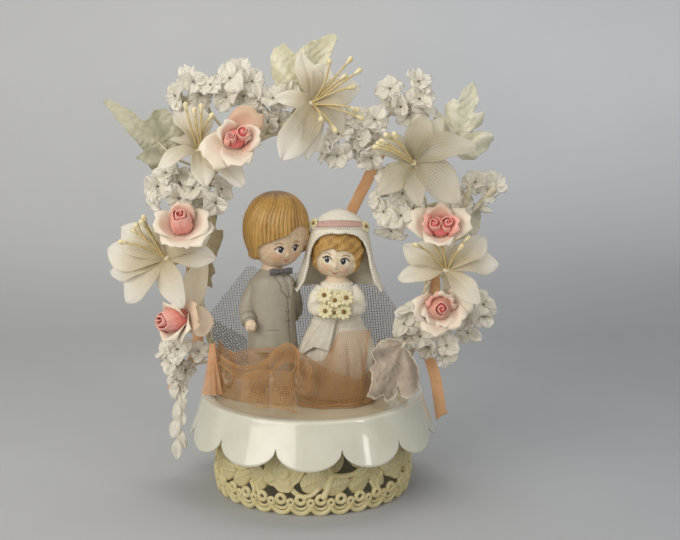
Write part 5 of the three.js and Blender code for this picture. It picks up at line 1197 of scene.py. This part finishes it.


# Satin leaves: each has its middle, its root, its outline (across, up), how far it leans back, its vein count
# and its lit and shaded colours; the cloth is pressed to pillows between the veins and crinkled, with painted light and
# shade following the pillows and crinkles

LEAVES = [
    ((-46.4, 8, 147.3), (-76.9, -1, 167.9), (14, -12), (6, -4), 0.1, 7, "#c4c1ab", "#9f9f86",
     [(-18.2, 12.3), (-16.3, 14.6), (-5.5, 9.6), (0.3, 5.1), (5.5, 10), (11, 9.6), (16.3, 5.1), (18.4, -3.6), (13.6, -14.6),
      (4.7, -17.8), (0.3, -13.7), (-3.4, -11.9), (-0.5, -9.1), (-2.7, -5), (-8.9, 1.9), (-14.2, 8.2)]),
    ((-9.7, 8, 174.8), (-4.3, 3, 200.8), (0, -16), (-1, -4), 0.12, 9, "#ebe8d0", "#cbc8aa",
     [(-13.7, 2.7), (-9.1, 6.8), (-5, 4.1), (-3.2, 2.4), (1.4, 6.3), (5.9, 8.6), (15.5, 11.2), (14.6, 5), (11.8, -1.3),
      (9.1, -9.9), (-2.4, -17.6), (-11.1, -14), (-14.2, -5.4)]),
    ((44.6, 8, 150), (70, 3, 172.4), (-5, -14), (-2, -5), 0.08, 11, "#e8e6d4", "#c8c9b1",
     [(4.3, 17.6), (6.8, 10.3), (4.2, 4.2), (9.2, 4), (7.9, -1.5), (3.8, -4.2), (13.1, -5.2), (12.7, -10.7), (6.8, -16.3),
      (0.8, -17.7), (-6.6, -13), (-12.7, -10.3), (-14.2, -2.9), (-11.5, 4), (-7.8, 0.2), (-8.8, 5.8), (-6.1, 9.9),
      (-2.4, 10.3), (-0.6, 14)]),
    ((50.1, 8, 71.3), (34.2, -32, 62.2), (8, 12), (2, 5), 0.5, 8, "#b8a999", "#776a5e",
     [(-3.7, 12.5), (0.4, 13.9), (5.3, 13.6), (8, 11.2), (10.7, 7.8), (12.9, 4.6), (14.6, -0.2), (14.3, -5.5), (12.9, -8.6),
      (9.6, -10.2), (6.4, -9.4), (5.3, -5.5), (4.8, -2), (4.6, -5.5), (4.2, -8.9), (1.4, -11.5), (-0.7, -12.1), (-2.1, -9.7),
      (-5.1, -11), (-8.9, -9.7), (-7.6, -5.5), (-7, -1.2), (-7.6, 2), (-5.4, 4.1), (-6.8, 7.2), (-6.5, 9.6), (-4.6, 10.9)]),
    ((-55.3, 8, 96.8), (-48.1, 12, 111.8), (-4, -14), (-2.5, 0), -0.05, 6, "#e4d7b6", "#c7b995",
     [(-3.7, 20.8), (1.9, 18.9), (2.8, 15.5), (2.2, 9.8), (5.5, 8.4), (5, 3.6), (3, -1.3), (2, -4.6), (0, -8), (1.4, -11.4),
      (-0.6, -14.8), (-0.7, -19.7), (-4, -17.3), (-7.1, -6.6), (-7.8, 6.4)]),
    ((56, 8, 109.8), (74.8, 4, 125), (-3, -6), (0, 0), 0.1, 6, "#eceadb", "#d2d0bb",
     [(-4.2, -2.2), (-2.8, 3), (0.3, 6.8), (3.2, 7.6), (4.2, 2), (2.8, -3.6), (0.2, -7), (-3.7, -6.5)]),
]


def wire(soup, a, b, sag, radius, col="#e6e0cf"):
    a, b = np.array(a, float), np.array(b, float)
    t = np.linspace(0, 1, 14)[:, None]
    soup.tube(a + (b - a) * t + np.array((0, sag, 0)) * np.sin(math.pi * t), radius, 8, lin(col))


for number, (seat, middle, root, heart, lean, veins, light, shade, outline) in enumerate(LEAVES, 1):
    rnd = np.random.default_rng(400 + number)
    ph = rnd.uniform(0, TURN, 6)
    ring = np.array(outline + outline[:3])
    t = np.linspace(0, len(outline), 168, endpoint=False)
    i = t.astype(int)
    f = (t - i)[:, None]
    p0, p1, p2, p3 = ring[i - 1 + (i == 0) * len(outline)], ring[i], ring[i + 1], ring[i + 2]
    edge = 0.5 * (2 * p1 + (p2 - p0) * f + (2 * p0 - 5 * p1 + 4 * p2 - p3) * f ** 2 + (3 * p1 - p0 - 3 * p2 + p3) * f ** 3)
    r = np.linspace(0.02, 1, 24)[:, None, None]
    flat = np.array(heart) + (edge - np.array(heart)) * r * (1 + 0.02 * r ** 6 * np.sin(t * 7)[None, :, None])
    x, z = flat[..., 0], flat[..., 1]
    dx, dz = x - root[0], z - root[1]
    away = np.hypot(dx, dz)
    fan = np.cos(veins * np.arctan2(dx, dz) + 0.3 * np.sin(0.5 * away + ph[3])) * np.minimum(1, away / 9)
    wx, wz = x + 1.8 * np.sin(0.45 * z + ph[3]) + 0.7 * np.sin(1.3 * z + x + ph[4]), z + 1.8 * np.sin(0.4 * x + ph[5])
    crinkle = 0.5 * np.sin(0.7 * wx + 0.5 * wz + ph[0]) + 0.35 * np.sin(1.3 * wz - 0.9 * wx + ph[1]) + 0.3 * np.sin(2.3 * wx + 0.8 * wz + ph[2])
    y = lean * z + 0.008 * (x * x + z * z) - 0.95 * fan * r[..., 0] + 0.46 * crinkle + 0.6 * np.sin(0.22 * x + ph[4])
    # Painted light and shade: the colour runs from the shade colour to the light one with the pillows and crinkles
    tone = np.clip(0.6 + 0.35 * fan + 0.12 * crinkle, 0, 1)[..., None]
    col = np.array(lin(shade)) + tone * (np.array(lin(light)) - np.array(lin(shade)))
    # Leaf 4 gets a lighter rim, a painted highlight along its edge
    if number == 4:
        col = paint(col, 0.7 * smooth(0.92, 1.0, r[..., 0] + 0 * x), lin("#efe5d8"))
    blade = Soup()
    blade.grid(np.stack([x, y, z], -1) + np.array(middle), col, wrap=True, ends="low")
    blade.build("leaf_%d_blade" % number, [LEAF], ["leaf_%d" % number], "cream_satin", solid=0.35)
    rib = Soup()
    foot = np.array((root[0], lean * root[1] + 0.8, root[1])) + np.array(middle)
    wire(rib, seat, foot, 1.0, 0.6)
    wire(rib, foot, np.array((heart[0], lean * heart[1] + 0.9, heart[1])) + np.array(middle), 0.2, 0.45)
    rib.build("leaf_%d_wire" % number, [TAPE], (), "floral_tape")

# Bare taped twig ends that stick out of the flowers

twigs = Soup()
for path, thick in (
        ([(-34, 2, 159), (-26.4, -2, 163), (-19.9, -2, 166.2), (-14, -2, 168), (-8, 0, 167.6)], (0.9, 1.3, 1.0, 1.5, 0.4)),
        ([(-33, 4, 160.5), (-24.9, -2, 166.6), (-20.8, -3, 170), (-18, -3, 171)], (0.8, 1.0, 1.5, 0.3)),
        ([(-27, 6, 163.5), (-16.2, -2, 169.8), (-9.8, -3, 173)], (0.7, 1.1, 0.4)),
        ([(60, 4, 118), (75.8, 0, 133), (84.5, -1, 142.5)], (0.9, 1.1, 1.6)),
        ([(62, 4, 119), (71.1, -1, 136), (72.8, -2, 145.5)], (0.8, 1.9, 0.4))):
    p = curve(path, 22)
    twigs.tube(p, np.interp(np.linspace(0, 1, len(p)), np.linspace(0, 1, len(thick)), thick), 9, lin("#d8cba6"))
twigs.build("arch_twig_ends", [TAPE], (), "floral_tape")


# Net and tulle are real lattices: thin strands both ways, closed at their ends

def lattice(soup, point, flat, pitch, radius, col=(1, 1, 1), hems=()):
    """Strands at the given pitch over a flat cut of width by length; point(u, v) takes arrays in 0..1."""
    across, along = flat
    n, m = max(2, round(across / pitch)), max(2, round(along / pitch))
    fine = np.linspace(0, 1, m + 1)
    wide = np.linspace(0, 1, n + 1)
    for k, u in enumerate(wide):
        soup.tube(point(np.full(m + 1, u), fine), radius, 3, col)
    for k, v in enumerate(fine):
        soup.tube(point(wide, np.full(n + 1, v)), radius, 3, col)
    for kind, at in hems:
        t = np.linspace(0, 1, 80)
        c = np.full(80, float(at))
        soup.tube(point(c, t) if kind == "u" else point(t, c), radius * 1.4, 5, col)


# White net: two folded wings behind the couple, cut to a peaked outline

NET_EDGE = np.array([(-40, 46.4), (-49, 60), (-50.4, 79.5), (-31.5, 103.6), (-17, 97), (-3, 101), (9, 97), (25.4, 102.3), (42.8, 79.5),
                     (44.5, 62), (36, 46.4)])


def inside(x, z):
    hit = np.zeros(x.shape, bool)
    a, b = NET_EDGE, np.roll(NET_EDGE, -1, 0)
    for (x0, z0), (x1, z1) in zip(a, b):
        cross = ((z0 > z) != (z1 > z)) & (x < (x1 - x0) * (z - z0) / (z1 - z0 + 1e-12) + x0)
        hit ^= cross
    return hit


def net_depth(x, z):
    ang = np.arctan2(z - 40, x + 3)
    far = np.hypot(x + 3, z - 40) / 60
    return 18 + 1.25 * far * np.sin(7 * 2.46 * (2.85 - ang)) + 0.35 * np.sin(x * 0.35 + z * 0.2)


def net_lines(soup, tilt, pitch, radius, off, keep):
    c, s = math.cos(tilt), math.sin(tilt)
    for family in (0, 1):
        for d in np.arange(-110, 190, pitch):
            t = np.arange(-140, 200, 1.2)
            x, z = (d * c - t * s, d * s + t * c) if family else (t * c - d * s, t * s + d * c)
            ok = inside(x, z) & keep(x, z)
            i = 0
            while i < len(t):
                if not ok[i]:
                    i += 1
                    continue
                j = i
                while j + 1 < len(t) and ok[j + 1]:
                    j += 1
                if j - i >= 2:
                    seg = slice(i, j + 1)
                    soup.tube(np.stack([x[seg], net_depth(x[seg], z[seg]) + off, z[seg]], -1), radius, 3)
                i = j + 1


net = Soup()
net_lines(net, 0.1, 1.25, 0.14, 0.0, lambda x, z: x < 0)
net_lines(net, 0.1, 1.25, 0.185, 0.0, lambda x, z: x >= 0)
ob = net.build("net_fan_mesh", [NET], ["net_fan"], "white_net")
fold = Soup()
net_lines(fold, 0.62, 1.25, 0.185, -1.3, lambda x, z: (x < -22) & (z < 79 - 0.62 * (x + 52)) & (z > 47))
ob = fold.build("net_fan_fold", [NET], (), "white_net")

# Peach tulle: a wrap round the couple's feet, a panel over the gown, a gathered end at the left leg, and a
# swag that rises to a loop and ends in a square tail

WRAP = curve([(-47, -1, 24), (-39, -15, 22), (-24, -22, 25), (-8, -25, 25), (10, -26, 15), (24, -23, 11), (33, -10, 18), (35, 3, 24)], 400)
WAY = np.gradient(WRAP[:, :2], axis=0)
WAY /= np.linalg.norm(WAY, axis=1)[:, None]


def wrap_point(u, v):
    k = np.linspace(0, 1, 400)
    x, y, h = (np.interp(v, k, WRAP[:, i]) for i in range(3))
    ox, oy = np.interp(v, k, WAY[:, 1]), -np.interp(v, k, WAY[:, 0])
    fold = 0.6 * np.sin(TURN * 6 * v) + 0.4 * np.sin(TURN * 11 * v + 3 * u) + 0.6 * np.sin(TURN * 3 * v + 5 * u)
    out = fold - 3.0 * u * u + 1.4 * np.sin(math.pi * u) * np.sin(TURN * 4 * v + 1)
    return np.stack([x + ox * out, y + oy * out, FLOOR + 0.5 + h * u], -1)


wrap = Soup()
lattice(wrap, wrap_point, (23, 150), 0.84, 0.124, hems=(("u", 1.0),))
ob = wrap.build("tulle_wrap_mesh", [TULLE], ["tulle_wrap"], "peach_tulle")


def over_point(u, v):
    tall = 19 + 14 * smooth(0.3, 0.6, v)
    x = -6 + 28 * v + u * (0.5 + 4.5 * v)
    y = -29.8 + 3.5 * (2 * v - 1) ** 2 + 10 * u * u + 0.5 * np.sin(TURN * 2 * v + 2 * u)
    return np.stack([x, y, FLOOR + 0.6 + tall * u], -1)


over = Soup()
lattice(over, over_point, (27, 31), 0.84, 0.124, hems=(("u", 0.0), ("u", 0.04), ("v", 1.0), ("v", 0.965)))
ob = over.build("tulle_over_mesh", [TULLE], (), "peach_tulle")


def gather_point(u, v):
    a = -2.6 + 3.4 * v
    r = 1.6 + 4.2 * u ** 1.4
    pleat = 1 + 0.1 * np.sin(TURN * 6 * v) * u
    return np.stack([-46.4 + r * pleat * np.cos(a), -8.5 + 0.9 * r * pleat * np.sin(a), 70.5 - 23.5 * u], -1)


gather = Soup()
lattice(gather, gather_point, (24, 24), 0.5, 0.15, hems=(("u", 1.0),))
ob = gather.build("tulle_gather_mesh", [RIBBON], (), "peach_tulle")


def swag_point(points, width):
    c = curve(points, 200)
    k = np.linspace(0, 1, 200)

    def f(u, v):
        top = np.stack([np.interp(v, k, c[:, i]) for i in range(3)], -1)
        drop = u * width * (0.65 + 0.35 * np.sin(math.pi * v))
        ripple = 0.8 * np.sin(TURN * 1.2 * u + 4 * v) * u
        return top + np.stack([ripple, 0.12 * drop + ripple, -drop], -1)
    return f


def tail_point(u, v):
    a, b = np.array((-29.9, -40, 64.0)), np.array((-8.4, -36, 63.4))
    c, d = np.array((-30.0, -46, 53.1)), np.array((-5.8, -48, 48.7))
    u, v = np.asarray(u)[..., None], np.asarray(v)[..., None]
    p = (1 - v) * ((1 - u) * a + u * b) + v * ((1 - u) * c + u * d)
    wave = 0.9 * np.sin(TURN * 1.3 * u + 2 * v) * (0.3 + v) + 2.2 * np.sin(math.pi * u) * (1 - v)
    return p + wave * np.array((0, -0.6, 0.8))


SWAG = [(-42.5, -14, 66.2), (-32.5, -24, 63.6), (-22, -31, 67.3), (-16, -33, 73.3), (-10.6, -33, 76.5), (-5.7, -34, 73.6), (-5.3, -35, 65.6)]
LOOP = [(-9, -36, 63), (-4.9, -33, 67.8), (0.5, -34, 65.3), (-2.2, -36, 60), (-9, -37, 60)]
bow = Soup()
lattice(bow, swag_point(SWAG, 9), (8, 56), 0.84, 0.124, hems=(("u", 0.0), ("u", 0.14)))
lattice(bow, swag_point(LOOP, 7), (6, 24), 0.84, 0.124, hems=(("u", 0.0),))
lattice(bow, tail_point, (23, 15), 0.84, 0.124, hems=(("v", 1.0), ("u", 0.0), ("v", 0.0)))
ob = bow.build("tulle_bow_mesh", [TULLE], ["tulle_bow"], "peach_tulle")

# Satin ribbons, each a strip with a slight cup and twist, cut on the slant at its end

RIBBONS = [
    ("ribbon_swag", (34.1, 10.2, 162.4), [(-8, 5, -18), (-18, 11, -41), (-28, 13, -81), (-33, 12, -114.5)], (0.92, 0, -0.38), 0.3),
    ("ribbon_tail_right", (54.2, 10.2, 126), [(4, 0, -33), (1, 0, -60), (5, -3, -78), (8, -5, -97)], (1, 0, 0.2), 0.25),
    ("ribbon_tail_left", (-54.2, 10.2, 126), [(-4, 0, -33), (-1, 0, -60), (-7, -1, -74), (-14, -2, -83)], (1, 0, -0.3), -0.25),
]
for name, start, steps, across, twist in RIBBONS:
    c = curve([np.array(start)] + [np.array(start) + np.array(s, float) for s in steps], 120)
    across = np.array(across, float) / np.linalg.norm(across)
    strip = np.zeros((120, 13, 3))
    for i in range(120):
        v = i / 119
        for j, w in enumerate(np.linspace(-1, 1, 13)):
            cup = 0.35 * w * w + 0.25 * math.sin(9 * v + w)
            end = 2.2 * (w + 1) * (v > 0.97) * (v - 0.97) / 0.03
            depth = np.array((0, 1.0, 0)) * (cup + twist * w * math.sin(4 * v) * 2.0)
            strip[i, j] = c[i] + across * w * 2.7 + depth + np.array((0, 0, end))
    r = Soup()
    r.grid(strip)
    r.build(name + "_strip", [RIBBON], [name], "peach_satin", solid=0.3)
